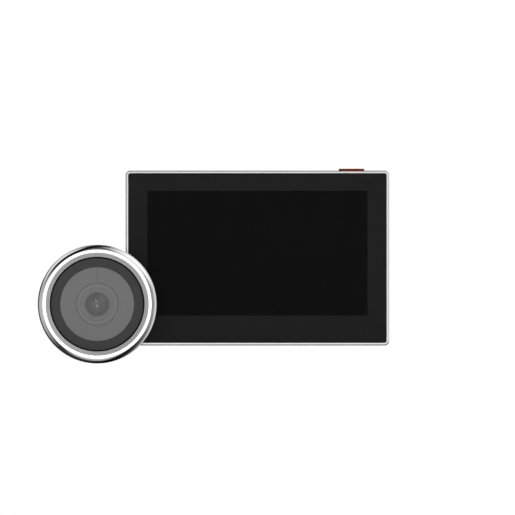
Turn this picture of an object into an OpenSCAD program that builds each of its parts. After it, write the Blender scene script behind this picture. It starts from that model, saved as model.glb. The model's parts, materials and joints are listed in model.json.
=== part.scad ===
// Peephole door camera: a flat indoor monitor that hangs on a door bracket, and the
// round outdoor camera, whose threaded barrel goes through the door's peephole.
// X runs to the right, Y into the door and Z up. The origin is the middle of the
// bracket's barrel hole, on the surface of the door.

/* [Picture and border] */
// Width of the picture area
screen_w = 95.04; // [85:0.01:120]
// Height of the picture area
screen_h = 53.86; // [48:0.01:75]
// Dark border at each side of the picture
border_side = 8.23; // [6:0.01:14]
// Dark border above the picture
border_top = 7.55; // [6:0.01:12]
// Dark border below the picture
border_bottom = 11.8; // [9:0.01:18]
// Thickness of the cover lens
lens_t = 1.1; // [0.7:0.1:1.6]

/* [Monitor case] */
// Depth of the monitor, back to front
body_d = 17; // [16.8:0.1:24]
// Width of the metal rim around the cover lens
frame_rim = 1.05; // [0.8:0.05:2.5]
// Corner radius of the case, seen from the front
corner_r = 2; // [1.8:0.1:3]
// Rounding of the frame's front edge
front_edge_r = 0.55; // [0.2:0.05:0.75]
// Rounding of the rear cover's back edge
back_edge_r = 1.6; // [0.4:0.1:1.7]
// Wall of the metal frame
frame_wall = 1.6; // [1.3:0.1:1.9]
// Wall of the rear cover
cover_wall = 2; // [1.8:0.1:2.4]
// Depth of the rear cover, up to the parting line
cover_d = 5.5; // [5:0.1:6.5]

/* [Power button] */
// Width of the button
button_w = 11; // [8:0.1:14]
// Size of the button, front to back
button_t = 4.4; // [3.6:0.1:4.8]
// Height of the button above the case
button_rise = 0.8; // [0.7:0.1:2]
// Distance from the case's right side to the middle of the button
button_from_right = 16.3; // [14:0.1:19]

/* [Door bracket] */
// Width of the bracket plate
bracket_w = 66; // [60:0.5:70]
// Height of the bracket plate
bracket_h = 48; // [44:0.5:50]
// Thickness of the steel sheet
bracket_t = 1.5; // [1:0.1:1.8]
// Corner radius of the bracket plate
bracket_corner_r = 5; // [1:0.5:8]
// Radius of the screw holes
screw_hole_r = 1.75; // [1.25:0.05:2.25]
// Width of a hook
hook_w = 8; // [5:0.5:9]
// Height of a hook's upturned lip
hook_lip = 5; // [3:0.5:6]

/* [Camera head] */
// Radius of the front lens
lens_r = 4.9; // [4.4:0.1:5.3]
// Radius of the lens collar
collar_r = 9.06; // [8.6:0.01:11]
// Radius of the grey face plate
face_r = 16; // [14.5:0.1:20]
// Width of the dark window around the face plate
window_w = 3.85; // [3.2:0.05:6]
// Width of the chrome ring's inner cone
cone_w = 1.8; // [1:0.1:3]
// Width of the bright band outside the cone
crest_w = 1.3; // [0.6:0.1:2.5]
// Rounding of the ring's outer edge
shoulder_round = 2.1; // [1:0.1:3]
// Depth of the camera head, gasket to crest
head_d = 15; // [14.5:0.1:20]
// Thickness of the foam gasket
gasket_t = 2; // [1:0.1:3]
// Distance from the monitor's left side out to the camera's axis
camera_out = 12.27; // [12:0.01:40]
// Height of the camera's axis above the monitor's lower side
camera_up = 17.83; // [0:0.01:60]

/* [Barrel and ring nut] */
// Radius of the threaded barrel
barrel_r = 7; // [6.5:0.1:8]
// Wall of the barrel
barrel_wall = 1.8; // [1.2:0.1:2]
// Length of the barrel behind the gasket
barrel_len = 17.8; // [16:0.1:60]
// Length of the thread, from the free end
thread_len = 12.4; // [6:0.1:12.6]
// Outer radius of the ring nut
nut_r = 11; // [10:0.1:11.5]
// Thickness of the ring nut
nut_t = 4; // [3:0.1:4.2]
// Thickness of the washer
washer_t = 0.7; // [0.5:0.1:1]

/* [Fits and travels] */
// Gap between the monitor's back and the door
door_gap = 0.5; // [0.3:0.1:1.2]
// Gap around the cover lens
lens_gap = 0.08; // [0.04:0.01:0.2]
// Gap of the cover lens below the frame's front
lens_drop = 0.2; // [0:0.05:0.4]
// Gap around the button in its slot
button_gap = 0.1; // [0.05:0.01:0.2]
// Gap around the sliding battery door
slide_gap = 0.15; // [0.1:0.05:0.3]
// Gap of the hooks to the rear cover
hook_gap = 0.3; // [0.2:0.05:0.5]
// Gap between neighbouring fixed pieces
seat_gap = 0.05; // [0.02:0.01:0.1]
// Gap of the ring nut on the thread
thread_gap = 0.05; // [0.02:0.01:0.1]
// Gap of the bracket's hole around the barrel
bore_gap = 0.3; // [0.1:0.05:0.6]
// Gap between the camera and what stands behind it
set_gap = 0.3; // [0.2:0.05:1]
// Travel of the monitor up off the hooks
lift_travel = 6.5; // [6.5:0.1:7]
// Travel of the power button
button_travel = 0.6; // [0.3:0.05:0.65]

/* [Hidden] */
$fn = 64;
// How far a cutter runs past the face that it opens, and how deep merged solids lap
cut = 1;
lap = 0.5;
// A hair that keeps two cut faces from coinciding
hair = 0.01;

// Outline of the monitor
lens_w = screen_w + 2 * border_side;
lens_h = screen_h + border_top + border_bottom;
lens_corner_r = max(corner_r - frame_rim, 0.5);
body_w = lens_w + 2 * (lens_gap + frame_rim);
body_h = lens_h + 2 * (lens_gap + frame_rim);
half_w = body_w / 2;
half_h = body_h / 2;
wall_x = half_w - frame_wall;
wall_y = half_h - frame_wall;
cover_x = half_w - cover_wall;
cover_y = half_h - cover_wall;
inner_corner_r = max(corner_r - max(frame_wall, cover_wall), 0.4);
screen_y = (border_bottom - border_top) / 2;

// Layers of the monitor, from the door outwards
back_z = door_gap;
split_z = back_z + cover_d;
back_in_z = back_z + cover_wall;
recess_room = 0.8;
recess_z = bracket_t + recess_room;
recess_in_z = recess_z + cover_wall;
lip_z = recess_in_z + hook_gap;
front_z = back_z + body_d;
lens_z = front_z - lens_drop - lens_t;
ledge_t = 1;
ledge_lap = 1.85;
mask_t = 0.2;
mask_side = 0.1;
panel_t = 1.2;
tray_t = 1.8;
tray_gap = 0.6;
mask_z = lens_z - mask_t;
panel_z = mask_z - panel_t;
tray_z = panel_z - tray_t;

// The charge socket stands under the display, on the board, and the nut pocket lies behind the board
charge_t = 3;
charge_room = 0.2;
board_t = 1.2;
board_room = 0.8;
pocket_floor = 1.2;
board_top_z = tray_z - charge_room - charge_t;
board_z = board_top_z - board_t;
pocket_in_z = board_z - board_room;
pocket_z = pocket_in_z - pocket_floor;

// Display glass behind the cover lens
lcd_inset_side = 2.95;
lcd_inset_top = 3.95;
lcd_inset_bottom = 3.6;
lcd_corner_r = 0.6;
lcd_w = lens_w - 2 * lcd_inset_side;
lcd_h = lens_h - lcd_inset_top - lcd_inset_bottom;
lcd_y = (lcd_inset_bottom - lcd_inset_top) / 2;
lcd_low_y = lcd_y - lcd_h / 2;
flex_w = 20;
flex_t = 0.2;
flex_bend_r = 1.6;
flex_run = 9;
flex_socket_w = 22;
flex_socket_d = 4;
flex_socket_t = 1.3;
flex_low_z = board_top_z + flex_socket_t / 2;
flex_high_z = panel_z + panel_t / 2;
flex_socket_y = lcd_low_y + flex_run;

// Posts in the corners, with the screws that close the case
post_inset = 4.2;
post_r = 2.8;
post_x = half_w - post_inset;
post_y = half_h - post_inset;
post_top_z = tray_z - tray_gap;
case_screw_r = 0.95;
case_screw_head_r = 1.8;
case_screw_head_t = 1.4;
case_screw_sink = 0.3;
case_screw_bite = 4.5;
screw_room = 0.15;
tip_room = 0.5;
case_screw_seat_z = back_z + case_screw_sink + case_screw_head_t;
case_screw_tip_z = split_z + case_screw_bite;

// Power button, the switch below it and the arm of the board that carries it
button_x = half_w - button_from_right;
button_corner_r = 1.5;
button_edge_r = 0.35;
button_dip = 0.2;
button_flange = 0.8;
button_flange_t = 1;
button_stem_w = 3;
button_stem_t = 1.6;
button_stem_h = 0.8;
flange_top_y = wall_y - button_gap;
flange_low_y = flange_top_y - button_flange_t;
stem_low_y = flange_low_y - button_stem_h;
switch_w = 4.8;
switch_h = 3.6;
switch_t = 1.7;
switch_spare = 0.4;
switch_stroke = button_travel + switch_spare;
plunger_w = 2.6;
plunger_t = 1.1;
plunger_depth = 1;
plunger_gap = 0.1;
switch_top_y = stem_low_y - switch_stroke;
button_z = board_top_z + switch_t / 2;

// Bracket: holes, hooks and the room that they need in the rear cover
bracket_bore_r = barrel_r + bore_gap;
hole_inset_x = 4.5;
hole_inset_y = 4;
hole_x = bracket_w / 2 - hole_inset_x;
hole_y = bracket_h / 2 - hole_inset_y;
countersink = 1.5;
hook_inset = 12;
hook_top_inset = 17;
hook_low_inset = 9;
hook_x = bracket_w / 2 - hook_inset;
hook_ys = [bracket_h / 2 - hook_top_inset, hook_low_inset - bracket_h / 2];
window_over = 2;
window_h = hook_lip + window_over;
window_side = 0.5;
hook_seat = 0.1;
recess_side = 1;
recess_half_w = bracket_w / 2 + recess_side;
recess_top_y = bracket_h / 2 + recess_side;
recess_low_y = -bracket_h / 2 - recess_side - lift_travel;
recess_rib = 2;
nut_room = 2;
pocket_r = nut_r + nut_room;
pocket_wall = 1.2;
cable_room = 9.5;
pocket_drop = lift_travel + cable_room;

// Circuit board of the monitor
board_side = 0.9;
board_from_bay = 5;
board_edge = 6.7;
board_x0 = -post_x + post_r + board_side;
bay_x = recess_half_w + recess_rib;
board_x1 = bay_x - board_from_bay;
board_y = half_h - board_edge;
arm_gap = 0.2;
arm_h = 5.5;
arm_past = 8;
arm_side = 0.6;
arm_top_y = switch_top_y - arm_gap;
arm_low_y = arm_top_y - arm_h;
arm_x1 = min(button_x + arm_past, post_x - post_r - arm_side);
standoff_inset = 4;
standoff_r = 2.4;
standoff_x = [board_x0 + standoff_inset, board_x1 - standoff_inset];
standoff_y = board_y - standoff_inset;
board_screw_r = 0.75;
board_screw_head_r = 1.7;
board_screw_head_t = 1.2;
board_screw_len = 3.5;
// Chips: place on the board, width, height and thickness
CHIPS = [
    [-5, 5, 14, 14, 1.4], [-25, 8, 11, 9, 1.1], [15, 11, 15, 12, 2],
    [11, -11, 6, 6, 0.9], [22, -9, 5, 5, 2]
];
socket_w = 10;
socket_h = 4;
socket_wall = 1;
socket_slot = 1.2;
socket_gap = 0.2;
charge_x = 16;
charge_w = 9;
charge_len = 7.4;
charge_shell = 0.35;
charge_back = 0.5;
charge_tongue_w = 6.6;
charge_tongue_t = 0.7;
charge_tongue_in = 1;
charge_sink = 0.5;
charge_gap = 0.2;
charge_z = board_top_z + charge_t / 2;

// Joint between rear cover and frame
tongue_t = 0.9;
tongue_h = 1.2;
tongue_gap = 0.1;
tongue_root = 2;
tongue_lap = 0.3;
tongue_step = 0.2;

// Battery and its sliding door
contact_reach = 2.4;
contact_w = 8;
contact_h = 2.4;
contact_d = 2;
contact_room = 0.2;
finger_w = 1.2;
finger_step = 2.6;
finger_inset = 0.6;
contact_z = board_z - contact_h;
bay_wall = 2.2;
bay_side = 0.4;
bay_in = 1.5;
bay_top_z = contact_z - contact_room;
door_thin = 0.2;
door_side = 1;
door_over = 0.3;
door_t = cover_wall - door_thin;
door_x = bay_x + door_side;
battery_up = 7.5;
battery_x0 = door_x + bay_side;
battery_x1 = half_w - max(cover_wall, tongue_gap + tongue_t + frame_wall) - bay_side;
battery_y1 = arm_low_y - contact_reach;
battery_y0 = -cover_y + battery_up;
battery_z0 = back_z + door_t + door_over;
battery_z1 = tray_z - tray_gap;
battery_corner_r = 1.5;
door_y0 = battery_y0 - door_over;
door_y1 = battery_y1 + door_over;
door_tongue = 0.9;
door_tongue_t = 0.7;
door_tongue_in = 0.6;
door_tongue_z = back_z + door_tongue_in;
grip_w = 0.8;
grip_len = 14;
grip_d = 0.35;
grip_step = 2;
grip_count = 4;

// Speaker at the other side
speaker_side = 1.9;
speaker_w = 15.1;
speaker_len = 27.1;
speaker_x = speaker_side + speaker_w / 2 - cover_x;
speaker_y = 6;
speaker_t = 4;
speaker_rim = 1.2;
speaker_gap = 0.15;
magnet_inset = 2.25;
grille_t = 1;
grille_inset = 1.5;
grille_lap = 1.2;
grille_hole_r = 0.65;
grille_step = 2;
grille_w = speaker_w - 2 * grille_inset;
grille_len = speaker_len - 2 * grille_inset;

// Rings of the camera head, from the face plate outwards
ring_gap = 0.08;
seal_w = 0.5;
seal_gap = 0.02;
bezel_wall = 0.95;
bezel_gap = 0.15;
body_wall = 1.9;
window_r = face_r + window_w;
mouth_r = window_r + seat_gap + seal_w;
crest_r = mouth_r + cone_w;
shoulder_r = crest_r + crest_w;
bezel_r = shoulder_r + shoulder_round;
bezel_in_r = bezel_r - bezel_wall;
body_out_r = bezel_in_r - bezel_gap;
body_in_r = body_out_r - body_wall;

// Place of the camera, and its layers from the gasket outwards
camera_x = -half_w - camera_out;
camera_y = -half_h + camera_up;
camera_z = front_z + set_gap;
base_t = 3;
base_in = gasket_t + base_t;
face_sink = 2.2;
face_t = 1.6;
face_top = head_d - face_sink;
face_low = face_top - face_t;
seal_sink = 0.7;
web_t = 1.4;
web_low = face_low - web_t;
crest_slope = 7;
shoulder_z = head_d - crest_w * tan(crest_slope);
cone_slope = 36;
cone_low = head_d - cone_w * tan(cone_slope);
bezel_under_gap = 0.1;
bezel_under = face_low + bezel_under_gap;
index_w = 0.3;
index_d = 0.1;
collar_step = 0.3;
collar_lip = 0.7;
collar_mid_out = 0.1;
collar_mid_r = (collar_r + lens_r) / 2 + collar_mid_out;
collar_low_r = lens_r + collar_lip;
collar_rim = face_top - 2 * collar_step;
dome_h = 2;
dome_r = (lens_r * lens_r + dome_h * dome_h) / (2 * dome_h);
oring_r = 0.5;
oring_squeeze = 0.02;
oring_from_top = 2;
oring_z = base_in - oring_from_top;

// Inside of the camera head
base_post_r = 1.5;
base_post_h = 0.6;
base_post_inset = 2;
base_post_turn = 30;
sensor_board_r = 13;
sensor_board_t = 1;
sensor_board_z = base_in + base_post_h;
sensor_z = sensor_board_z + sensor_board_t;
sensor_w = 6.6;
sensor_h = 5.6;
sensor_t = 0.9;
sensor_room = 1;
mount_w = 15;
mount_t = 1.6;
mount_tube_wall = 1.7;
mount_web_gap = 0.3;
lens_tube_r = 6;
lens_tube_wall = 1.7;
lens_tube_seat = 0.2;
lens_tube_z = sensor_z + mount_t + lens_tube_seat;
mount_in_web = 0.8;
mount_top = web_low + mount_in_web;
element_t = 0.8;
element_inset = 0.3;
cable_socket_w = 7;
cable_socket_h = 3;
cable_socket_t = 1.4;
cable_socket_slot = 0.4;
ir_board_t = 1;
ir_board_up = 2.6;
ir_board_side = 0.4;
ir_board_in = 0.8;
ir_board_z = base_in + ir_board_up;
led_count = 6;
led_r = 1.5;
led_room = 0.2;
led_pitch_r = face_r + window_w / 2;
camera_post_count = 3;
camera_post_r = 2.3;
camera_post_inset = 1.4;
camera_post_pitch_r = mouth_r - camera_post_inset;
camera_screw_r = 0.95;
camera_screw_head_r = 1.8;
camera_screw_head_t = 1.3;

// Barrel through the door
thread_h = 0.5;
barrel_chamfer = 0.5;
shank_r = barrel_r - thread_h;
barrel_bore_r = barrel_r - barrel_wall;
barrel_flange = 1.5;
barrel_collar_r = barrel_r + barrel_flange;
barrel_collar_t = 1.4;
gasket_inset = 1.6;
gasket_in_r = nut_r + nut_room;
gasket_out_r = bezel_r - gasket_inset;
washer_z = -set_gap - washer_t;
nut_z = washer_z - seat_gap - nut_t;
nut_chamfer = 0.4;
notch_r = 1.6;
notch_count = 8;
grommet_len = 4;
grommet_sink = 0.4;
cable_slot_w = 6.4;
cable_slot_t = 1;

// Pieces are drawn lying on the door, with z pointing out of it, and then stood up
module upright() {
    rotate([90, 0, 0]) children();
}

module on_camera() {
    upright() translate([camera_x, camera_y, camera_z]) children();
}

// A profile of height (x) and depth (y) run along the width
module along_x(length) {
    rotate([90, 0, 90]) linear_extrude(length, center = true) children();
}

// A profile of width (x) and depth (y) run along the height
module along_y(length) {
    rotate([90, 0, 0]) linear_extrude(length, center = true) children();
}

module rounded_rect(w, h, r) {
    square([w - 2 * r, h], center = true);
    square([w, h - 2 * r], center = true);
    for (sx = [-1, 1], sy = [-1, 1]) {
        translate([sx * (w / 2 - r), sy * (h / 2 - r)]) circle(r);
    }
}

module slab(w, h, r, z0, z1) {
    translate([0, 0, z0]) linear_extrude(z1 - z0) rounded_rect(w, h, r);
}

module stadium(w, h) {
    square([w, h - w], center = true);
    for (s = [-1, 1]) {
        translate([0, s * (h - w) / 2]) circle(w / 2);
    }
}

module block(x0, x1, y0, y1, z0, z1) {
    translate([x0, y0, z0]) cube([x1 - x0, y1 - y0, z1 - z0]);
}

// Quarter of a disc that rounds the outer upper edge of a profile
module edge_quarter(x, y, e) {
    intersection() {
        translate([x - e, y - e]) circle(e);
        translate([x - e, y - e]) square(e);
    }
}

// Half of a profile whose outer upper edge is rounded
module half_soft(x, z0, z1, e) {
    translate([0, z0]) square([x, z1 - z0 - e]);
    translate([0, z0]) square([x - e, z1 - z0]);
    edge_quarter(x, z1, e);
}

module soft_profile(w, z0, z1, e) {
    half_soft(w / 2, z0, z1, e);
    mirror([1, 0]) half_soft(w / 2, z0, z1, e);
}

// A slab with rounded corners, whose upper edge is rounded all round
module soft_slab(w, h, r, z0, z1, e) {
    along_x(w - 2 * r) soft_profile(h, z0, z1, e);
    along_y(h - 2 * r) soft_profile(w, z0, z1, e);
    for (sx = [-1, 1], sy = [-1, 1]) {
        translate([sx * (w / 2 - r), sy * (h / 2 - r), 0]) rotate_extrude() half_soft(r, z0, z1, e);
    }
}

module at_posts() {
    for (sx = [-1, 1], sy = [-1, 1]) {
        translate([sx * post_x, sy * post_y, 0]) children();
    }
}

module at_standoffs() {
    for (x = standoff_x, sy = [-1, 1]) {
        translate([x, sy * standoff_y, 0]) children();
    }
}

module at_hooks() {
    for (sx = [-1, 1], y = hook_ys) {
        translate([sx * hook_x, y, 0]) children();
    }
}

module around(count, radius, turn = 90) {
    for (i = [0 : count - 1]) {
        rotate(turn + i * 360 / count) translate([radius, 0, 0]) children();
    }
}

module tube(r_out, r_in, z0, z1) {
    rotate_extrude() translate([r_in, z0]) square([r_out - r_in, z1 - z0]);
}

module disc(r, z0, z1) {
    translate([0, 0, z0]) cylinder(r = r, h = z1 - z0);
}

// Steel plate on the door, with four hooks lanced out of it
module door_bracket() {
    color("#9a9da0") upright() {
        difference() {
            slab(bracket_w, bracket_h, bracket_corner_r, 0, bracket_t);
            disc(bracket_bore_r, -cut, bracket_t + cut);
            for (sx = [-1, 1], sy = [-1, 1]) {
                translate([sx * hole_x, sy * hole_y, 0]) {
                    disc(screw_hole_r, -cut, bracket_t + cut);
                    translate([0, 0, bracket_t / 2])
                        cylinder(
                            h = bracket_t / 2 + hair, r1 = screw_hole_r, r2 = screw_hole_r + countersink
                        );
                }
            }
            at_hooks() {
                half = hook_w / 2 + window_side;
                block(-half, half, 0, bracket_t + window_h, -cut, bracket_t + cut);
            }
        }
        at_hooks() {
            along_x(hook_w) hook_profile();
            block(-hook_w / 2, hook_w / 2, -lap, 0, 0, bracket_t);
        }
    }
}

// Side view of a hook: bent out of the plate and then up, with both bends rounded
module hook_profile() {
    intersection() {
        translate([0, bracket_t]) circle(bracket_t);
        square(bracket_t);
    }
    translate([0, bracket_t]) square([bracket_t, lip_z - bracket_t]);
    intersection() {
        translate([bracket_t, lip_z]) circle(bracket_t);
        translate([0, lip_z]) square(bracket_t);
    }
    translate([bracket_t, lip_z]) square([hook_lip, bracket_t]);
}

// Back plate of the camera head
module camera_base() {
    color("#26282b") on_camera() {
        difference() {
            disc(body_out_r, gasket_t, base_in);
            disc(shank_r + seat_gap, gasket_t - cut, base_in + cut);
            disc(barrel_collar_r + seat_gap, base_in - barrel_collar_t, base_in + cut);
            tube(body_out_r + cut, body_out_r - 2 * oring_r, oring_z, oring_z + 2 * oring_r);
            around(camera_post_count, camera_post_pitch_r) {
                disc(camera_screw_head_r + screw_room, gasket_t - cut, gasket_t + camera_screw_head_t);
                disc(camera_screw_r + screw_room, gasket_t - cut, base_in + cut);
            }
        }
        around(camera_post_count, sensor_board_r - base_post_inset, base_post_turn)
            disc(base_post_r, base_in - lap, sensor_board_z);
    }
}

// Tube through the door: threaded at its free end, on a thinner shank
module door_barrel() {
    free_end = -barrel_len;
    shank_end = free_end + thread_len;
    flange = base_in - barrel_collar_t;
    color("#b9bcc0") on_camera() rotate_extrude() polygon([
        [barrel_bore_r, free_end], [barrel_r - barrel_chamfer, free_end],
        [barrel_r, free_end + barrel_chamfer], [barrel_r, shank_end], [shank_r, shank_end + thread_h],
        [shank_r, flange], [barrel_collar_r, flange], [barrel_collar_r, base_in], [barrel_bore_r, base_in]
    ]);
}

module door_gasket() {
    color("#1b1b1c") on_camera() tube(gasket_out_r, gasket_in_r, 0, gasket_t);
}

// Rubber inlet in the barrel's free end, slit for the flat camera cable
module cable_grommet() {
    color("#141414") on_camera() translate([0, 0, grommet_sink - barrel_len]) difference() {
        disc(barrel_bore_r - seat_gap, 0, grommet_len);
        translate([0, 0, grommet_len / 2])
            cube([cable_slot_w, cable_slot_t, grommet_len + cut], center = true);
    }
}

// Inner housing of the camera head: a wall, a web behind the face and three screw posts
module camera_body() {
    color("#222326") on_camera() difference() {
        union() {
            tube(body_out_r, body_in_r, base_in, face_low);
            tube(body_in_r + lap, lens_tube_r + mount_tube_wall + mount_web_gap, web_low, face_low);
            around(camera_post_count, camera_post_pitch_r) disc(camera_post_r, base_in, web_low + lap);
        }
        around(camera_post_count, camera_post_pitch_r)
            disc(camera_screw_r + seat_gap, base_in - cut, web_low - tip_room);
        around(led_count, led_pitch_r, 0) disc(led_r + led_room, web_low - cut, face_low + cut);
    }
}

// Chrome ring: straight side, rounded shoulder, bright crest band and inner cone
module chrome_bezel() {
    round_z = shoulder_z - shoulder_round;
    color("#d9dcdf") on_camera() rotate_extrude() {
        polygon([
            [bezel_in_r, gasket_t], [bezel_r, gasket_t], [bezel_r, round_z], [shoulder_r, round_z],
            [shoulder_r, shoulder_z], [crest_r, head_d], [mouth_r, cone_low], [mouth_r, bezel_under],
            [bezel_in_r, bezel_under]
        ]);
        edge_quarter(bezel_r, shoulder_z, shoulder_round);
    }
}

module bezel_seal() {
    color("#0b0b0b") on_camera()
        tube(window_r + seal_w, window_r + seal_gap, face_low, face_top - seal_sink);
}

module ir_window() {
    color("#404040") on_camera() tube(window_r, face_r + ring_gap / 2, face_low, face_top);
}

// Grey disc around the lens, with an index groove at 12 o'clock
module face_plate() {
    color("#707070") on_camera() difference() {
        tube(face_r - ring_gap / 2, collar_r + ring_gap / 2, face_low, face_top);
        block(-index_w / 2, index_w / 2, collar_r, face_r, face_top - index_d, face_top + cut);
    }
}

// Collar that steps down to the lens
module lens_collar() {
    bore = lens_r + seat_gap;
    outer = collar_r - ring_gap / 2;
    color("#6e6e6e") on_camera() rotate_extrude() polygon([
        [bore, face_low], [outer, face_low], [outer, face_top],
        [collar_mid_r, face_top], [collar_mid_r, face_top - collar_step],
        [collar_low_r, face_top - collar_step], [collar_low_r, collar_rim], [bore, collar_rim]
    ]);
}

module fisheye_lens() {
    top = collar_rim + dome_h;
    color("#5f6062") on_camera() rotate_extrude() intersection() {
        translate([0, face_low]) square([lens_r, face_t + dome_h]);
        union() {
            translate([0, face_low]) square([lens_r, collar_rim - face_low]);
            translate([0, top - dome_r]) circle(dome_r);
        }
    }
}

module lens_barrel() {
    color("#1d1d1f") on_camera() tube(lens_tube_r, lens_tube_r - lens_tube_wall, lens_tube_z, face_low);
}

// Two lens elements inside the lens barrel
module inner_lenses() {
    element_r = lens_tube_r - lens_tube_wall - seat_gap;
    color("#8fa3b0") on_camera() {
        disc(element_r, lens_tube_z + element_inset, lens_tube_z + element_inset + element_t);
        disc(element_r, face_low - element_inset - element_t, face_low - element_inset);
    }
}

// Holder of the lens barrel, with room for the sensor below it
module lens_mount() {
    color("#19191a") on_camera() difference() {
        union() {
            translate([0, 0, sensor_z + mount_t / 2]) cube([mount_w, mount_w, mount_t], center = true);
            disc(lens_tube_r + mount_tube_wall, sensor_z + lap, mount_top);
        }
        disc(lens_tube_r + seat_gap, lens_tube_z - seat_gap, mount_top + cut);
        disc(lens_tube_r - lens_tube_wall, sensor_z - cut, mount_top);
        translate([-sensor_w / 2 - sensor_room, -sensor_h / 2 - sensor_room, sensor_z - cut])
            cube([sensor_w + 2 * sensor_room, sensor_h + 2 * sensor_room, cut + sensor_t + lens_tube_seat]);
    }
}

module image_sensor() {
    color("#2f3b46") on_camera() translate([0, 0, sensor_z + sensor_t / 2])
        cube([sensor_w, sensor_h, sensor_t], center = true);
}

module sensor_board() {
    color("#1f5a38") on_camera() disc(sensor_board_r, sensor_board_z, sensor_z);
}

// Socket for the camera cable, on the back of the sensor board
module cable_socket() {
    color("#d8d2c0") on_camera() translate([0, 0, sensor_board_z - cable_socket_t / 2]) difference() {
        cube([cable_socket_w, cable_socket_h, cable_socket_t], center = true);
        translate([0, -cable_socket_h / 2, 0])
            cube([cable_socket_w - 2 * lap, cable_socket_h, cable_socket_slot], center = true);
    }
}

module ir_board() {
    color("#1f5a38") on_camera() difference() {
        tube(body_in_r - ir_board_side, sensor_board_r + ir_board_in, ir_board_z, ir_board_z + ir_board_t);
        around(camera_post_count, camera_post_pitch_r)
            disc(camera_post_r + led_room, ir_board_z - cut, ir_board_z + ir_board_t + cut);
    }
}

// Domed infrared lamps below the dark window
module ir_leds() {
    color("#cfd3e0") on_camera() around(led_count, led_pitch_r, 0) rotate_extrude() {
        translate([0, ir_board_z + ir_board_t]) square([led_r, face_low - led_r - ir_board_z - ir_board_t]);
        edge_quarter(led_r, face_low, led_r);
    }
}

module base_oring() {
    color("#0e0e0e") on_camera() rotate_extrude()
        translate([body_out_r - oring_r + seat_gap, oring_z + oring_r]) circle(oring_r - oring_squeeze);
}

module base_screws() {
    color("#b4b6b8") on_camera() around(camera_post_count, camera_post_pitch_r) {
        disc(camera_screw_head_r, gasket_t, gasket_t + camera_screw_head_t - seat_gap);
        disc(camera_screw_r, gasket_t + lap, web_low - 2 * tip_room);
    }
}

module clamp_washer() {
    color("#c3c6c9") on_camera() tube(nut_r, barrel_r + thread_gap, washer_z, washer_z + washer_t);
}

// Ring nut with finger notches and chamfered edges
module clamp_nut() {
    bore = barrel_r + thread_gap;
    top = nut_z + nut_t;
    color("#a8abae") on_camera() difference() {
        rotate_extrude() polygon([
            [bore, nut_z], [nut_r - nut_chamfer, nut_z], [nut_r, nut_z + nut_chamfer],
            [nut_r, top - nut_chamfer], [nut_r - nut_chamfer, top], [bore, top]
        ]);
        around(notch_count, nut_r + notch_r / 2) disc(notch_r, nut_z - cut, top + cut);
    }
}

// Metal side band and rim of the monitor
module front_frame() {
    slot_w = button_w + 2 * button_gap;
    slot_t = button_t + 2 * button_gap;
    color("#c9cbcd") upright() difference() {
        union() {
            difference() {
                soft_slab(body_w, body_h, corner_r, split_z, front_z, front_edge_r);
                slab(2 * wall_x, 2 * wall_y, inner_corner_r, split_z - cut, lens_z - ledge_t);
                slab(lens_w - 2 * ledge_lap, lens_h - 2 * ledge_lap, lens_corner_r, split_z, front_z);
                slab(
                    lens_w + 2 * lens_gap, lens_h + 2 * lens_gap, lens_corner_r + lens_gap,
                    lens_z, front_z + cut
                );
            }
            at_posts() disc(post_r, split_z, post_top_z);
        }
        at_posts() disc(case_screw_r + seat_gap, split_z - cut, case_screw_tip_z + tip_room);
        translate([button_x, half_h, button_z]) rotate([-90, 0, 0])
            slab(slot_w, slot_t, button_corner_r + button_gap, -frame_wall - cut, cut);
        translate([button_x, half_h, 0])
            block(-slot_w / 2, slot_w / 2, -button_dip, cut, button_z, front_z + cut);
        translate([charge_x, -half_h, charge_z]) rotate([90, 0, 0]) rotate(90)
            translate([0, 0, -frame_wall - cut]) linear_extrude(frame_wall + 2 * cut)
                stadium(charge_t + 2 * charge_gap, charge_w + 2 * charge_gap);
    }
}

module cover_lens() {
    color("#202020") upright() slab(lens_w, lens_h, lens_corner_r, lens_z, lens_z + lens_t);
}

// Black adhesive frame between the cover lens and the display
module lens_mask() {
    rim = ledge_lap + mask_side;
    color("#0f0f0f") upright() difference() {
        slab(lens_w - 2 * rim, lens_h - 2 * rim, lcd_corner_r, mask_z, lens_z);
        translate([0, screen_y, 0])
            block(-screen_w / 2, screen_w / 2, -screen_h / 2, screen_h / 2, mask_z - cut, lens_z + cut);
    }
}

module lcd_panel() {
    color("#111111") upright() translate([0, lcd_y, 0]) slab(lcd_w, lcd_h, lcd_corner_r, panel_z, mask_z);
}

module backlight_tray() {
    color("#e4e4e2") upright() translate([0, lcd_y, 0]) slab(lcd_w, lcd_h, lcd_corner_r, tray_z, panel_z);
}

// Flat cable from the display's lower edge, bent back to the circuit board
module lcd_flex() {
    color("#b5722a") upright() along_x(flex_w) {
        flex_bend(flex_low_z + flex_bend_r, -flex_bend_r - flex_t);
        flex_bend(flex_high_z - flex_bend_r, 0);
        translate([lcd_low_y - flex_bend_r - flex_t / 2, flex_low_z + flex_bend_r])
            square([flex_t, flex_high_z - flex_low_z - 2 * flex_bend_r]);
        translate([lcd_low_y, flex_low_z - flex_t / 2])
            square([flex_socket_y - flex_socket_d / 2 - lcd_low_y, flex_t]);
    }
}

// Quarter bend of the flat cable about a point at depth z, on the side that starts at from_z
module flex_bend(z, from_z) {
    reach = flex_bend_r + flex_t;
    translate([lcd_low_y, z]) intersection() {
        difference() {
            circle(flex_bend_r + flex_t / 2);
            circle(flex_bend_r - flex_t / 2);
        }
        translate([-reach, from_z]) square(reach);
    }
}

module lcd_socket() {
    half_sw = flex_socket_w / 2;
    half_sd = flex_socket_d / 2;
    color("#e9e4d4") upright() translate([0, flex_socket_y, 0])
        block(-half_sw, half_sw, -half_sd, half_sd, board_top_z, board_top_z + flex_socket_t);
}

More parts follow.
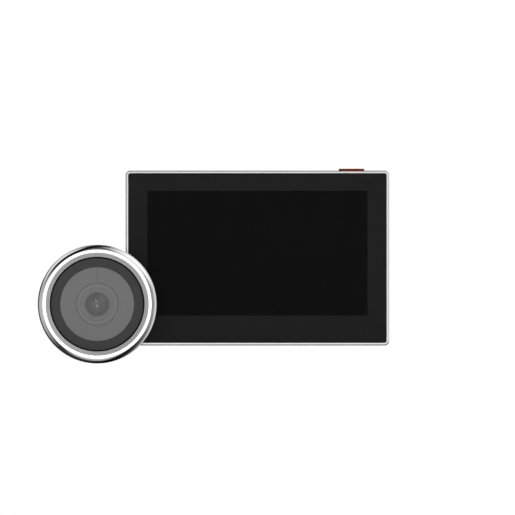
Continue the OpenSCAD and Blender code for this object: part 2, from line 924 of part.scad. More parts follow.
// Circuit board with an arm up to the power switch
module main_board() {
    color("#1f5a38") upright() difference() {
        union() {
            block(board_x0, board_x1, -board_y, board_y, board_z, board_top_z);
            block(board_x1 - lap, arm_x1, arm_low_y, arm_top_y, board_z, board_top_z);
        }
        at_standoffs() disc(board_screw_r + screw_room, board_z - cut, board_top_z + cut);
    }
}

module board_chips() {
    color("#2b2d30") upright() for (c = CHIPS) {
        translate([c[0] - c[2] / 2, c[1] - c[3] / 2, board_top_z]) cube([c[2], c[3], c[4]]);
    }
}

module board_screws() {
    color("#b4b6b8") upright() at_standoffs() {
        disc(board_screw_head_r, board_top_z, board_top_z + board_screw_head_t);
        disc(board_screw_r, board_top_z - board_screw_len, board_top_z + lap);
    }
}

// Socket for the camera cable, on the back of the board and open into the nut pocket
module camera_socket() {
    color("#e9e4d4") upright() translate([0, -pocket_drop, 0]) difference() {
        half_slot = socket_w / 2 - socket_wall;
        block(-socket_w / 2, socket_w / 2, -socket_h / 2, socket_h / 2, pocket_z, board_z);
        block(-half_slot, half_slot, -socket_slot / 2, socket_slot / 2, pocket_z - cut, board_z - lap);
    }
}

// Charging socket: a steel shell around a contact tongue
module charge_socket() {
    hollow_t = charge_t - 2 * charge_shell;
    hollow_w = charge_w - 2 * charge_shell;
    tongue_len = charge_len - charge_back - charge_tongue_in;
    place = [charge_x, charge_sink - half_h, charge_z];
    color("#c4c7ca") upright() translate(place) rotate([-90, 0, 0]) rotate(90) {
        difference() {
            linear_extrude(charge_len) stadium(charge_t, charge_w);
            translate([0, 0, -cut]) linear_extrude(charge_len - charge_back + cut)
                stadium(hollow_t, hollow_w);
        }
        translate([-charge_tongue_t / 2, -charge_tongue_w / 2, charge_tongue_in])
            cube([charge_tongue_t, charge_tongue_w, tongue_len + charge_back / 2]);
    }
}

// Side-push switch under the power button
module tact_switch() {
    color("#33363a") upright() translate([button_x, switch_top_y, button_z]) difference() {
        block(-switch_w / 2, switch_w / 2, -switch_h, 0, -switch_t / 2, switch_t / 2);
        half_pw = plunger_w / 2 + plunger_gap;
        half_pt = plunger_t / 2 + plunger_gap;
        block(-half_pw, half_pw, -plunger_depth - switch_stroke, cut, -half_pt, half_pt);
    }
}

module speaker() {
    color("#2a2a2c") upright() translate([speaker_x, speaker_y, back_in_z]) {
        linear_extrude(speaker_t / 2) stadium(speaker_w, speaker_len);
        linear_extrude(speaker_t) stadium(speaker_w - 2 * magnet_inset, speaker_len - 2 * magnet_inset);
    }
}

// Perforated plate over the speaker, set flush in the rear cover
module speaker_grille() {
    edge = grille_w / 2 - grille_lap - grille_hole_r;
    straight = (grille_len - grille_w) / 2;
    rows = floor((straight + edge) / (grille_step * sin(60)));
    cols = ceil(edge / grille_step) + 1;
    color("#1c1d1f") upright() translate([speaker_x, speaker_y, back_z]) difference() {
        linear_extrude(grille_t) stadium(grille_w - 2 * seat_gap, grille_len - 2 * seat_gap);
        for (j = [-rows : rows], i = [-cols : cols]) {
            x = (i + (abs(j) % 2) / 2) * grille_step;
            y = j * grille_step * sin(60);
            past = max(abs(y) - straight, 0);
            if (norm([x, past]) <= edge) {
                translate([x, y, 0]) disc(grille_hole_r, -cut, grille_t + cut);
            }
        }
    }
}

module battery_pack() {
    w = battery_x1 - battery_x0;
    h = battery_y1 - battery_y0;
    color("#3f4a57") upright() translate([battery_x0 + w / 2, battery_y0 + h / 2, 0])
        slab(w, h, battery_corner_r, battery_z0, battery_z1);
}

// Spring contacts on the board's arm, which press on the battery's end
module battery_contacts() {
    x = (battery_x0 + battery_x1) / 2;
    color("#c9b27a") upright() translate([x, 0, 0]) {
        block(-contact_w / 2, contact_w / 2, arm_low_y, arm_low_y + contact_d, contact_z, board_z);
        for (i = [-1 : 1]) {
            translate([i * finger_step, 0, 0]) block(
                -finger_w / 2, finger_w / 2, battery_y1 + seat_gap, arm_low_y + lap,
                contact_z + finger_inset, board_z - finger_inset
            );
        }
    }
}

module back_shell() {
    mirror([0, 0, 1]) soft_slab(body_w, body_h, corner_r, -split_z, -back_z, back_edge_r);
}

// Moulded back of the monitor: bracket recess, nut pocket, hook slots, bosses and battery bay
module rear_cover() {
    color("#2a2b2d") upright() difference() {
        union() {
            difference() {
                back_shell();
                slab(2 * cover_x, 2 * cover_y, inner_corner_r, back_in_z, split_z + cut);
            }
            block(
                -recess_half_w - recess_rib, recess_half_w + recess_rib, recess_low_y - recess_rib,
                recess_top_y + recess_rib, back_z + lap, recess_in_z
            );
            nut_pocket(pocket_r + pocket_wall, recess_z, pocket_in_z);
            at_posts() disc(post_r, back_z + cover_wall / 2, split_z);
            at_standoffs() disc(standoff_r, back_z + cover_wall / 2, board_z);
            translate([speaker_x, speaker_y, back_in_z - lap]) linear_extrude(speaker_t / 2)
                stadium(speaker_w + 2 * speaker_rim, speaker_len + 2 * speaker_rim);
            bay_walls();
            cover_tongues();
        }
        block(-recess_half_w, recess_half_w, recess_low_y, recess_top_y, back_z - cut, recess_z);
        nut_pocket(pocket_r, recess_z - cut, pocket_z);
        at_hooks() {
            half = hook_w / 2 + window_side;
            low_y = -lift_travel - window_side;
            block(-half, half, low_y, bracket_t + hook_seat, recess_z - cut, recess_in_z + cut);
        }
        translate([0, -pocket_drop, 0]) {
            half_sw = socket_w / 2 + socket_gap;
            half_sh = socket_h / 2 + socket_gap;
            block(-half_sw, half_sw, -half_sh, half_sh, pocket_z - cut, pocket_in_z + cut);
        }
        at_posts() {
            disc(case_screw_head_r + screw_room, back_z - cut, case_screw_seat_z);
            disc(case_screw_r + screw_room, back_z, split_z + cut);
        }
        at_standoffs()
            disc(board_screw_r + seat_gap, board_top_z - board_screw_len - tip_room, board_z + cut);
        speaker_seat();
        battery_door_path();
        button_room();
    }
}

// Seats of the speaker and of its grille, with the opening between them
module speaker_seat() {
    translate([speaker_x, speaker_y, 0]) {
        translate([0, 0, back_in_z]) linear_extrude(speaker_t)
            stadium(speaker_w + 2 * speaker_gap, speaker_len + 2 * speaker_gap);
        translate([0, 0, back_z - cut]) linear_extrude(cut + grille_t) stadium(grille_w, grille_len);
        translate([0, 0, back_z]) linear_extrude(cover_wall + cut)
            stadium(grille_w - 2 * grille_lap, grille_len - 2 * grille_lap);
    }
}

// Room for the power button's flange along the parting line
module button_room() {
    half_fw = button_w / 2 + button_flange + button_gap;
    half_ft = button_t / 2 + button_flange + button_gap;
    translate([button_x, 0, button_z])
        block(-half_fw, half_fw, stem_low_y - button_travel, wall_y, -half_ft, half_ft);
}

// Slot-shaped pocket for the nut, the barrel's end and the cable
module nut_pocket(r, z0, z1) {
    translate([0, -pocket_drop / 2, z0]) linear_extrude(z1 - z0) stadium(2 * r, pocket_drop + 2 * r);
}

// End walls of the battery bay, which also carry the door's rails
module bay_walls() {
    for (y = [door_y0 - slide_gap - bay_wall, door_y1 + slide_gap]) {
        block(door_x - bay_in, wall_x - tongue_gap, y, y + bay_wall, back_in_z - lap, bay_top_z);
    }
}

// Tongues that line the frame up on the rear cover, along its four sides
module cover_tongues() {
    from_side = post_inset + post_r + tongue_root;
    for (turn = [0, 180]) {
        rotate(turn) cover_tongue(body_w - 2 * from_side, half_h);
        rotate(turn + 90) cover_tongue(body_h - 2 * from_side, half_w);
    }
}

// One tongue and the root that joins it to the cover's wall
module cover_tongue(span, side) {
    y_out = side - frame_wall - tongue_gap;
    y_in = y_out - tongue_t;
    y_wall = side - cover_wall + tongue_lap;
    block(-span / 2, span / 2, y_in, y_out, split_z - cut, split_z + tongue_h);
    block(-span / 2, span / 2, y_in, y_wall, split_z - tongue_root, split_z - tongue_step);
}

// Opening and rail grooves for the battery door, open to the right
module battery_door_path() {
    groove = door_tongue + slide_gap;
    block(
        door_x - slide_gap, half_w + cut, door_y0 - slide_gap, door_y1 + slide_gap,
        back_z - cut, back_z + door_t + slide_gap
    );
    block(
        door_x - slide_gap, cover_x, door_y0 - slide_gap, door_y1 + slide_gap,
        back_z, back_in_z + hair
    );
    block(
        door_x - slide_gap, half_w + cut, door_y0 - groove, door_y1 + groove,
        door_tongue_z - slide_gap, door_tongue_z + door_tongue_t + slide_gap
    );
}

module case_screws() {
    head_z = back_z + case_screw_sink;
    color("#8e9194") upright() at_posts() {
        disc(case_screw_head_r, head_z, case_screw_seat_z - seat_gap);
        disc(case_screw_r, head_z + lap, case_screw_tip_z);
    }
}

// Sliding cover of the battery bay, with a tongue along each rail and a ribbed thumb grip
module battery_door() {
    x_mid = (door_x + half_w) / 2;
    y_mid = (door_y0 + door_y1) / 2;
    color("#2d2e30") upright() difference() {
        union() {
            intersection() {
                back_shell();
                block(door_x, half_w + cut, door_y0, door_y1, back_z - cut, back_z + door_t);
            }
            block(
                door_x, half_w - back_edge_r, door_y0 - door_tongue, door_y1 + door_tongue,
                door_tongue_z, door_tongue_z + door_tongue_t
            );
        }
        for (i = [0 : grip_count - 1]) {
            x = x_mid + (i - (grip_count - 1) / 2) * grip_step;
            translate([x, y_mid, 0])
                block(-grip_w / 2, grip_w / 2, -grip_len / 2, grip_len / 2, back_z - cut, back_z + grip_d);
        }
    }
}

module power_button() {
    stem_half_w = button_stem_w / 2;
    stem_half_t = button_stem_t / 2;
    color("#7a3520") upright() translate([button_x, 0, button_z]) {
        rotate([-90, 0, 0]) {
            soft_slab(
                button_w, button_t, button_corner_r, flange_low_y, half_h + button_rise, button_edge_r
            );
            slab(
                button_w + 2 * button_flange, button_t + 2 * button_flange, button_corner_r + button_flange,
                flange_low_y, flange_top_y
            );
        }
        block(-stem_half_w, stem_half_w, stem_low_y, flange_low_y + lap, -stem_half_t, stem_half_t);
    }
}

module switch_plunger() {
    half_pw = plunger_w / 2;
    half_pt = plunger_t / 2;
    color("#d7d2c8") upright() translate([button_x, 0, button_z])
        block(-half_pw, half_pw, switch_top_y - plunger_depth, stem_low_y, -half_pt, half_pt);
}

door_bracket();
camera_base();
door_barrel();
door_gasket();
cable_grommet();
camera_body();
chrome_bezel();
bezel_seal();
ir_window();
face_plate();
lens_collar();
fisheye_lens();
lens_barrel();
inner_lenses();
lens_mount();
image_sensor();
sensor_board();
cable_socket();
ir_board();
ir_leds();
base_oring();
base_screws();
clamp_washer();
clamp_nut();
front_frame();
cover_lens();
lens_mask();
lcd_panel();
backlight_tray();
lcd_flex();
lcd_socket();
main_board();
board_chips();
board_screws();
camera_socket();
charge_socket();
tact_switch();
speaker();
speaker_grille();
battery_pack();
battery_contacts();
rear_cover();
case_screws();
battery_door();
power_button();
switch_plunger();
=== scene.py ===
import json
import math

import bmesh
import bpy
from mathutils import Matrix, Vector

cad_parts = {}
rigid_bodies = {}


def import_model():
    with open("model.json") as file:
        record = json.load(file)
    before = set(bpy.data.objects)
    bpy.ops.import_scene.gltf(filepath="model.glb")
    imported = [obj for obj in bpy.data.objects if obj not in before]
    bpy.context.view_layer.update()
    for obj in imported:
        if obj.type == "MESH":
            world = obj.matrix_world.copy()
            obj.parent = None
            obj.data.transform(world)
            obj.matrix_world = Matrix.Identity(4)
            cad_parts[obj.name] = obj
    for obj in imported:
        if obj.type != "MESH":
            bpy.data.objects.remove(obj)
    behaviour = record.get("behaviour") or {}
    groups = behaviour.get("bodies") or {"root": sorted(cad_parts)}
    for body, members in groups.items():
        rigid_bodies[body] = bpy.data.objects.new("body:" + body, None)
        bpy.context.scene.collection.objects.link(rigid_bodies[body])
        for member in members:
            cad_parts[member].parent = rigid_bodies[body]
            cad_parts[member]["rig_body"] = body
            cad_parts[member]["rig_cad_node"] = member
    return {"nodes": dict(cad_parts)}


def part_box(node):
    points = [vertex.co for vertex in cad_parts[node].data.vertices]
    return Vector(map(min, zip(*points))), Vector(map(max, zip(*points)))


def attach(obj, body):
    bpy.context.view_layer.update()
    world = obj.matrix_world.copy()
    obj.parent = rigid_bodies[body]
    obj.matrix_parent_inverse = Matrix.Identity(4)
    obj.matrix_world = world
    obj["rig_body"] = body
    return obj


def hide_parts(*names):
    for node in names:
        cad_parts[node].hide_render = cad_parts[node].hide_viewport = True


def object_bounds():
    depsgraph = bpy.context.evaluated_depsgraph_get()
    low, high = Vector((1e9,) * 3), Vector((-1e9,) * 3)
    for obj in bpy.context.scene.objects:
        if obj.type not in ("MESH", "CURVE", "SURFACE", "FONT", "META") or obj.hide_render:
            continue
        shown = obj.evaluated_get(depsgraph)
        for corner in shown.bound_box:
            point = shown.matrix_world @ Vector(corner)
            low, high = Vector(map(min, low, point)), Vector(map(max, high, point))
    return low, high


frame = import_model()
cad_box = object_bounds()
nodes = frame["nodes"]

# Sizes are in millimetres and angles in degrees; the scene itself is in metres.
MM = 0.001
WELD = 0.0005 * MM

# Angles between faces: shaded as one up to SMOOTH, softened past SHARP, and one flat face below FLAT.
# A normal faces a side squarely from FACING on.
SMOOTH = 32
SHARP = 50
FLAT = 0.5
FACING = 0.99

# Steps of a turned piece, of one that mirrors the studio, and of the arcs in their profiles
TURN_STEPS = 180
MIRROR_STEPS = 360
ROUND_STEPS = 3
CREST_STEPS = 6
SHOULDER_STEPS = 24
DOME_STEPS = 16

# Cover lens of the monitor: dark border around the picture, and the softness of its edges
BORDER_SIDE = 8.23
BORDER_TOP = 7.55
BORDER_BOTTOM = 11.8
LENS_CORNER = 0.95
LENS_EDGE = 0.12

# Chrome ring of the camera, from its mouth outwards
MOUTH_GAP = 0.13
CONE_W = 1.72
CONE_SLOPE = 36
CREST_W = 1.25
CREST_SLOPE = 7
CREST_ROUND = 0.2
CREST_HOLD = 0.05
SKIRT_WALL = 0.95
RING_FLOOR = 11.3

# Rings inside it, and the lens
RING_EDGE = 0.12
RING_GAP = 0.08
COLLAR_MID = 7.08
COLLAR_LOW = 5.6
COLLAR_STEP = 0.3
COLLAR_EDGE = 0.06
LENS_GAP = 0.05
DOME_H = 2
INDEX_W = 0.3
INDEX_D = 0.1
SEAL_GAP = 0.02
SEAL_EDGE = 0.15
FOAM_BORE = 13
FOAM_EDGE = 0.35

# Barrel through the door, its thread and what clamps it; the thread's base is a share of its pitch
BARREL_R = 7
BARREL_BORE = 5.2
THREAD_LEN = 12.4
THREAD_PITCH = 1.5
THREAD_H = 0.5
THREAD_BASE = 0.84
THREAD_ROOTED = 0.05
THREAD_STEPS = 48
FLANGE_T = 1.4
NUT_EDGE = 0.12
WASHER_EDGE = 0.1
INLET_EDGE = 0.15

# Bracket on the door
BRACKET_EDGE = 0.15

# Screws of the case
SCREW_HEAD_R = 1.8
SCREW_HEAD_T = 1.35
SCREW_SHANK_R = 0.95
SCREW_ROUND = 0.35
RECESS_W = 0.5
RECESS_LEN = 2.1
RECESS_D = 0.7

# Studio: clock angle, angle off the line of sight, level, and the angles where a light is full and where it ends
STUDIO_LEVEL = 0.03
SOFT_BOXES = (
    (39, 74, 1.09, 4, 37),
    (39, 35, 0.58, 4, 17),
    (320, 95, 0.92, 4, 35),
    (267, 74, 0.51, 4, 48),
    (270, 28, 0.51, 4, 23),
    (81, 120, 0.62, 27, 68),
    (85, 24, 0.28, 13, 59),
    (164, 20, 0.24, 15, 20),
    (180, 44, 0.39, 17, 27),
    (343, 130, 0.3, 14, 32),
)
RING_LIGHT = (0, 0, 1.4, 16, 17.5)
CAMERA_DISC = (0, 0, 0.97, 10.5, 12)

# Black flags: the way the flat side faces, the half-widths where it covers fully and ends, and overhead or below;
# then how much of the light a flag takes, and the heights between which it comes in
DARK_STRIPS = (
    ((1.03, -0.26, 0.1), 0.02, 0.22, 1),
    ((0.84, 0.25, 0.22), 0.04, 0.32, -1),
)
FLAG_COVER = 0.97
FLAG_FOOT = 0.12
FLAG_FULL = 0.3

# White card over the monitor's front: how far it stands off, and its glow
CARD_LIFT = 0.2
CARD_GLOW = 0.7

# Floor, whose radius is in metres, the sky that lights it, and the width and middle of the view
FLOOR_R = 12
FLOOR_GAP = 0.1
FLOOR_LIGHT = 2.2
SKY_ANGLE = 70
VIEW_W = 222.2
VIEW_X = 0.04
VIEW_Z = 0.22


# Small tools

def middle(node):
    lo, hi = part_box(node)
    return (lo + hi) / 2


def radius(node):
    lo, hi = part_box(node)
    return (hi.x - lo.x) / 2 / MM


# Middle of the camera's axis, on the back of its gasket
HEAD = Vector((middle("chrome_bezel").x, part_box("door_gasket")[1].y, middle("chrome_bezel").z))


def ring_point(r, depth):
    """A point at 3 o'clock on the camera head, at a radius and at a depth in front of the gasket's back."""
    return HEAD + Vector((r, -depth, 0)) * MM


def front_of(node):
    return (HEAD.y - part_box(node)[0].y) / MM


def back_of(node):
    return (HEAD.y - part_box(node)[1].y) / MM


def arc(centre, r, start, end, steps):
    """Points of an arc in a profile of radius and depth, with angles from the radius axis."""
    turns = [math.radians(start + (end - start) * i / steps) for i in range(steps + 1)]
    return [(centre[0] + r * math.cos(a), centre[1] + r * math.sin(a)) for a in turns]


def start_piece(name):
    """Takes the primitive that was just added as a new piece, and opens it for editing with all of it selected."""
    piece = bpy.context.object
    piece.name = piece.data.name = name
    bpy.ops.object.mode_set(mode="EDIT")
    bpy.ops.mesh.select_mode(type="VERT")
    bpy.ops.mesh.select_all(action="SELECT")
    return piece


def pick(piece, kind, test):
    """Selects the vertices, edges or faces of the piece in edit mode whose middle passes the test."""
    mesh = bmesh.from_edit_mesh(piece.data)
    bpy.ops.mesh.select_all(action="DESELECT")
    bpy.ops.mesh.select_mode(type=kind)
    for part in {"VERT": mesh.verts, "EDGE": mesh.edges, "FACE": mesh.faces}[kind]:
        if kind == "FACE":
            where = part.calc_center_median()
        elif kind == "EDGE":
            where = (part.verts[0].co + part.verts[1].co) / 2
        else:
            where = part.co
        part.select_set(bool(test(part, where)))
    mesh.select_flush_mode()
    bmesh.update_edit_mesh(piece.data)


def close_piece(piece):
    """Merges doubles, points the faces outwards and shades round stretches smooth, up to sharp edges."""
    bpy.ops.mesh.select_all(action="SELECT")
    bpy.ops.mesh.remove_doubles(threshold=WELD)
    bpy.ops.mesh.normals_make_consistent(inside=False)
    bpy.ops.object.mode_set(mode="OBJECT")
    bpy.ops.object.shade_smooth_by_angle(angle=math.radians(SMOOTH))
    apply_modifier(piece, "WEIGHTED_NORMAL", keep_sharp=True)
    return piece


def apply_modifier(piece, kind, **settings):
    bpy.context.view_layer.objects.active = piece
    modifier = piece.modifiers.new(kind.title(), kind)
    for field, value in settings.items():
        setattr(modifier, field, value)
    bpy.ops.object.modifier_apply(modifier=modifier.name)


def cut_away(piece, cutter):
    apply_modifier(piece, "BOOLEAN", operation="DIFFERENCE", solver="EXACT", object=cutter)
    bpy.data.objects.remove(cutter)


def join_pieces(pieces):
    bpy.ops.object.select_all(action="DESELECT")
    for piece in pieces:
        piece.select_set(True)
    bpy.context.view_layer.objects.active = pieces[0]
    bpy.ops.object.join()
    return pieces[0]


def drawn(name, profile, closed):
    """Draws a profile of radius and depth points at 3 o'clock on the camera head, and leaves it open for editing."""
    bpy.ops.object.select_all(action="DESELECT")
    bpy.ops.mesh.primitive_plane_add(size=MM)
    piece = start_piece(name)
    bpy.ops.mesh.merge(type="CENTER")
    bpy.ops.transform.translate(value=ring_point(*profile[0]))
    for here, there in zip(profile, profile[1:]):
        bpy.ops.mesh.extrude_vertices_move(
            TRANSFORM_OT_translate={"value": ring_point(*there) - ring_point(*here)}
        )
    if closed:
        ends = [ring_point(*profile[0]), ring_point(*profile[-1])]
        pick(piece, "VERT", lambda v, at: min((at - end).length for end in ends) < WELD)
        bpy.ops.mesh.edge_face_add()
    bpy.ops.mesh.select_all(action="SELECT")
    return piece


def turned(name, profile, closed=True, steps=TURN_STEPS):
    """Spins a profile about the camera's axis. An open one starts and ends on the axis."""
    piece = drawn(name, profile, closed)
    bpy.ops.mesh.spin(steps=steps, angle=math.tau, center=HEAD, axis=(0, 1, 0))
    return close_piece(piece)


def ring_profile(r_in, r_out, low, top, edge):
    """Cross-section of a flat ring whose two front edges are rounded."""
    return [
        (r_in, low), (r_out, low),
        *arc((r_out - edge, top - edge), edge, 0, 90, ROUND_STEPS),
        *arc((r_in + edge, top - edge), edge, 90, 180, ROUND_STEPS),
    ]


def dressed_copy(name, node, soften=0):
    """A copy of a CAD node, merged and shaded smooth, whose sharp edges are softened when a width is given."""
    bpy.ops.object.select_all(action="DESELECT")
    nodes[node].select_set(True)
    bpy.context.view_layer.objects.active = nodes[node]
    bpy.ops.object.duplicate()
    piece = start_piece(name)
    piece.parent = None
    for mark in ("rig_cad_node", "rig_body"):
        del piece[mark]
    bpy.ops.mesh.customdata_custom_splitnormals_clear()
    bpy.ops.mesh.remove_doubles(threshold=WELD)
    bpy.ops.mesh.dissolve_limited(angle_limit=math.radians(FLAT))
    bpy.ops.object.mode_set(mode="OBJECT")
    if soften:
        apply_modifier(
            piece, "BEVEL", limit_method="ANGLE", angle_limit=math.radians(SHARP), width=soften * MM, segments=2
        )
    bpy.ops.object.shade_smooth_by_angle(angle=math.radians(SMOOTH))
    apply_modifier(piece, "WEIGHTED_NORMAL", keep_sharp=True)
    return piece


def stand_in(piece, node, *finishes):
    """Lets a new piece stand for a CAD node: it takes the node's body and hides the node, and gets its own finishes.
    """
    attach(piece, nodes[node]["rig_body"])
    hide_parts(node)
    piece.data.materials.clear()
    for finish in finishes:
        piece.data.materials.append(finish)
    return piece


# Finishes

def linear(hex_colour):
    """An sRGB hex colour as linear red, green, blue and alpha."""
    parts = [int(hex_colour[i:i + 2], 16) / 255 for i in (1, 3, 5)]
    return [c / 12.92 if c <= 0.04045 else ((c + 0.055) / 1.055) ** 2.4 for c in parts] + [1]


def per(size):
    """Texture scale that gives features of this size in millimetres."""
    return 1 / (size * MM)


def add(tree, kind, values=None, **settings):
    """Adds a node with its settings. A value is a plain number or colour, or an output of another node to link."""
    made = tree.nodes.new(kind)
    for field, value in settings.items():
        setattr(made, field, value)
    for socket, value in (values or {}).items():
        if isinstance(value, bpy.types.NodeSocket):
            tree.links.new(value, made.inputs[socket])
        else:
            made.inputs[socket].default_value = value
    return made


def new_finish(name):
    """Starts a material, and gives it, its node tree and the place on the piece that its patterns follow."""
    material = bpy.data.materials.new(name)
    material.use_nodes = True
    tree = material.node_tree
    tree.nodes.clear()
    return material, tree, add(tree, "ShaderNodeTexCoord").outputs["Object"]


def finished(material, sockets):
    tree = material.node_tree
    shader = add(tree, "ShaderNodeBsdfPrincipled", sockets)
    add(tree, "ShaderNodeOutputMaterial", {"Surface": shader.outputs["BSDF"]})
    return material


def chrome_plate():
    """Chrome plate on moulded ABS, polished: a mirror, with the faint wipe marks that plated plastic shows."""
    material, tree, place = new_finish("chrome_plate_polished")
    wipes = add(tree, "ShaderNodeTexNoise", {"Vector": place, "Scale": per(9), "Detail": 4})
    tone = add(
        tree, "ShaderNodeMix", {0: wipes.outputs["Fac"], 6: linear("#f2f2f3"), 7: linear("#eaeaeb")}, data_type="RGBA"
    )
    gloss = add(tree, "ShaderNodeMapRange", {0: wipes.outputs["Fac"], 3: 0.03, 4: 0.07})
    return finished(material, {
        "Base Color": tone.outputs[2], "Roughness": gloss.outputs["Result"], "Metallic": 1,
    })


def silver_lacquer():
    """Satin lacquer with some metal flakes, sprayed on the cone: an even silver grey from any side, with a fine
    grit drawn coarse enough to show."""
    material, tree, place = new_finish("lacquer_satin_silver")
    flakes = add(tree, "ShaderNodeTexNoise", {"Vector": place, "Scale": per(0.5), "Detail": 3})
    tone = add(
        tree, "ShaderNodeMix", {0: flakes.outputs["Fac"], 6: linear("#bababb"), 7: linear("#afafb0")},
        data_type="RGBA",
    )
    gloss = add(tree, "ShaderNodeMapRange", {0: flakes.outputs["Fac"], 3: 0.5, 4: 0.58})
    relief = add(tree, "ShaderNodeBump", {"Height": flakes.outputs["Fac"], "Strength": 0.6, "Distance": 0.004 * MM})
    return finished(material, {
        "Base Color": tone.outputs[2], "Roughness": gloss.outputs["Result"], "Metallic": 0.25,
        "Normal": relief.outputs["Normal"],
    })


def blasted_aluminium():
    """Aluminium, bead-blasted and clear anodised: a milky sheen over a fine sparkle, drawn coarser than the beads."""
    material, tree, place = new_finish("aluminium_blasted_anodised")
    beads = add(tree, "ShaderNodeTexNoise", {"Vector": place, "Scale": per(0.3), "Detail": 2})
    bath = add(tree, "ShaderNodeTexNoise", {"Vector": place, "Scale": per(25), "Detail": 2})
    tone = add(
        tree, "ShaderNodeMix", {0: bath.outputs["Fac"], 6: linear("#c0c0c1"), 7: linear("#b8b8b9")}, data_type="RGBA"
    )
    gloss = add(tree, "ShaderNodeMapRange", {0: beads.outputs["Fac"], 3: 0.25, 4: 0.33})
    relief = add(tree, "ShaderNodeBump", {"Height": beads.outputs["Fac"], "Strength": 0.5, "Distance": 0.004 * MM})
    return finished(material, {
        "Base Color": tone.outputs[2], "Roughness": gloss.outputs["Result"], "Metallic": 1,
        "Normal": relief.outputs["Normal"],
    })


def cover_glass_finish(name, shade, deep):
    """Toughened cover glass over black: deep gloss that a hand has dulled here and there."""
    material, tree, place = new_finish(name)
    smudges = add(tree, "ShaderNodeTexNoise", {"Vector": place, "Scale": per(18), "Detail": 5, "Roughness": 0.6})
    tone = add(
        tree, "ShaderNodeMix", {0: smudges.outputs["Fac"], 6: linear(shade), 7: linear(deep)}, data_type="RGBA"
    )
    gloss = add(tree, "ShaderNodeMapRange", {0: smudges.outputs["Fac"], 1: 0.3, 2: 0.75, 3: 0.03, 4: 0.09})
    return finished(material, {
        "Base Color": tone.outputs[2], "Roughness": gloss.outputs["Result"], "IOR": 1.52,
    })


def textured_abs():
    """ABS from a spark-eroded mould: matt black, finely pitted, with a dull sheen where hands hold it."""
    material, tree, place = new_finish("abs_black_spark_eroded")
    pits = add(tree, "ShaderNodeTexNoise", {"Vector": place, "Scale": per(0.45), "Detail": 3, "Roughness": 0.6})
    sheen = add(tree, "ShaderNodeTexNoise", {"Vector": place, "Scale": per(22), "Detail": 2})
    tone = add(
        tree, "ShaderNodeMix", {0: pits.outputs["Fac"], 6: linear("#1f2022"), 7: linear("#2c2d2f")}, data_type="RGBA"
    )
    gloss = add(tree, "ShaderNodeMapRange", {0: sheen.outputs["Fac"], 1: 0.3, 2: 0.7, 3: 0.48, 4: 0.66})
    relief = add(tree, "ShaderNodeBump", {"Height": pits.outputs["Fac"], "Strength": 0.7, "Distance": 0.03 * MM})
    return finished(material, {
        "Base Color": tone.outputs[2], "Roughness": gloss.outputs["Result"], "Normal": relief.outputs["Normal"],
    })


def grey_paint(name, shade, light):
    """Satin paint on moulded ABS: an even grey with a fine orange peel."""
    material, tree, place = new_finish(name)
    peel = add(tree, "ShaderNodeTexNoise", {"Vector": place, "Scale": per(0.8), "Detail": 2})
    coat = add(tree, "ShaderNodeTexNoise", {"Vector": place, "Scale": per(5), "Detail": 2})
    tone = add(
        tree, "ShaderNodeMix", {0: coat.outputs["Fac"], 6: linear(shade), 7: linear(light)}, data_type="RGBA"
    )
    gloss = add(tree, "ShaderNodeMapRange", {0: peel.outputs["Fac"], 3: 0.46, 4: 0.56})
    relief = add(tree, "ShaderNodeBump", {"Height": peel.outputs["Fac"], "Strength": 0.5, "Distance": 0.004 * MM})
    return finished(material, {
        "Base Color": tone.outputs[2], "Roughness": gloss.outputs["Result"], "Normal": relief.outputs["Normal"],
    })


def infrared_acrylic():
    """Acrylic that passes infrared only: a smoky dark gloss that hides the lamps behind it."""
    material, tree, place = new_finish("acrylic_infrared_pass")
    smoke = add(tree, "ShaderNodeTexNoise", {"Vector": place, "Scale": per(5), "Detail": 2})
    tone = add(
        tree, "ShaderNodeMix", {0: smoke.outputs["Fac"], 6: linear("#3f3f3f"), 7: linear("#424242")}, data_type="RGBA"
    )
    gloss = add(tree, "ShaderNodeMapRange", {0: smoke.outputs["Fac"], 3: 0.14, 4: 0.2})
    return finished(material, {
        "Base Color": tone.outputs[2], "Roughness": gloss.outputs["Result"], "IOR": 1.49,
    })


def coated_lens():
    """Optical glass with an anti-reflective coating over a dark barrel: grey depth and weak reflections."""
    material, tree, place = new_finish("optical_glass_coated")
    depth = add(tree, "ShaderNodeTexNoise", {"Vector": place, "Scale": per(3), "Detail": 1})
    tone = add(
        tree, "ShaderNodeMix", {0: depth.outputs["Fac"], 6: linear("#5b5b5c"), 7: linear("#5e5e5f")}, data_type="RGBA"
    )
    gloss = add(tree, "ShaderNodeMapRange", {0: depth.outputs["Fac"], 3: 0.05, 4: 0.09})
    return finished(material, {
        "Base Color": tone.outputs[2], "Roughness": gloss.outputs["Result"], "IOR": 1.62, "Specular IOR Level": 0.15,
    })


def clear_glass():
    """Ground and polished optical glass: clear, with the last trace of polishing."""
    material, tree, place = new_finish("optical_glass_clear")
    polish = add(tree, "ShaderNodeTexNoise", {"Vector": place, "Scale": per(4), "Detail": 2})
    tone = add(
        tree, "ShaderNodeMix", {0: polish.outputs["Fac"], 6: linear("#f4f8fa"), 7: linear("#ffffff")},
        data_type="RGBA",
    )
    gloss = add(tree, "ShaderNodeMapRange", {0: polish.outputs["Fac"], 3: 0.01, 4: 0.03})
    return finished(material, {
        "Base Color": tone.outputs[2], "Roughness": gloss.outputs["Result"], "IOR": 1.52, "Transmission Weight": 1,
    })


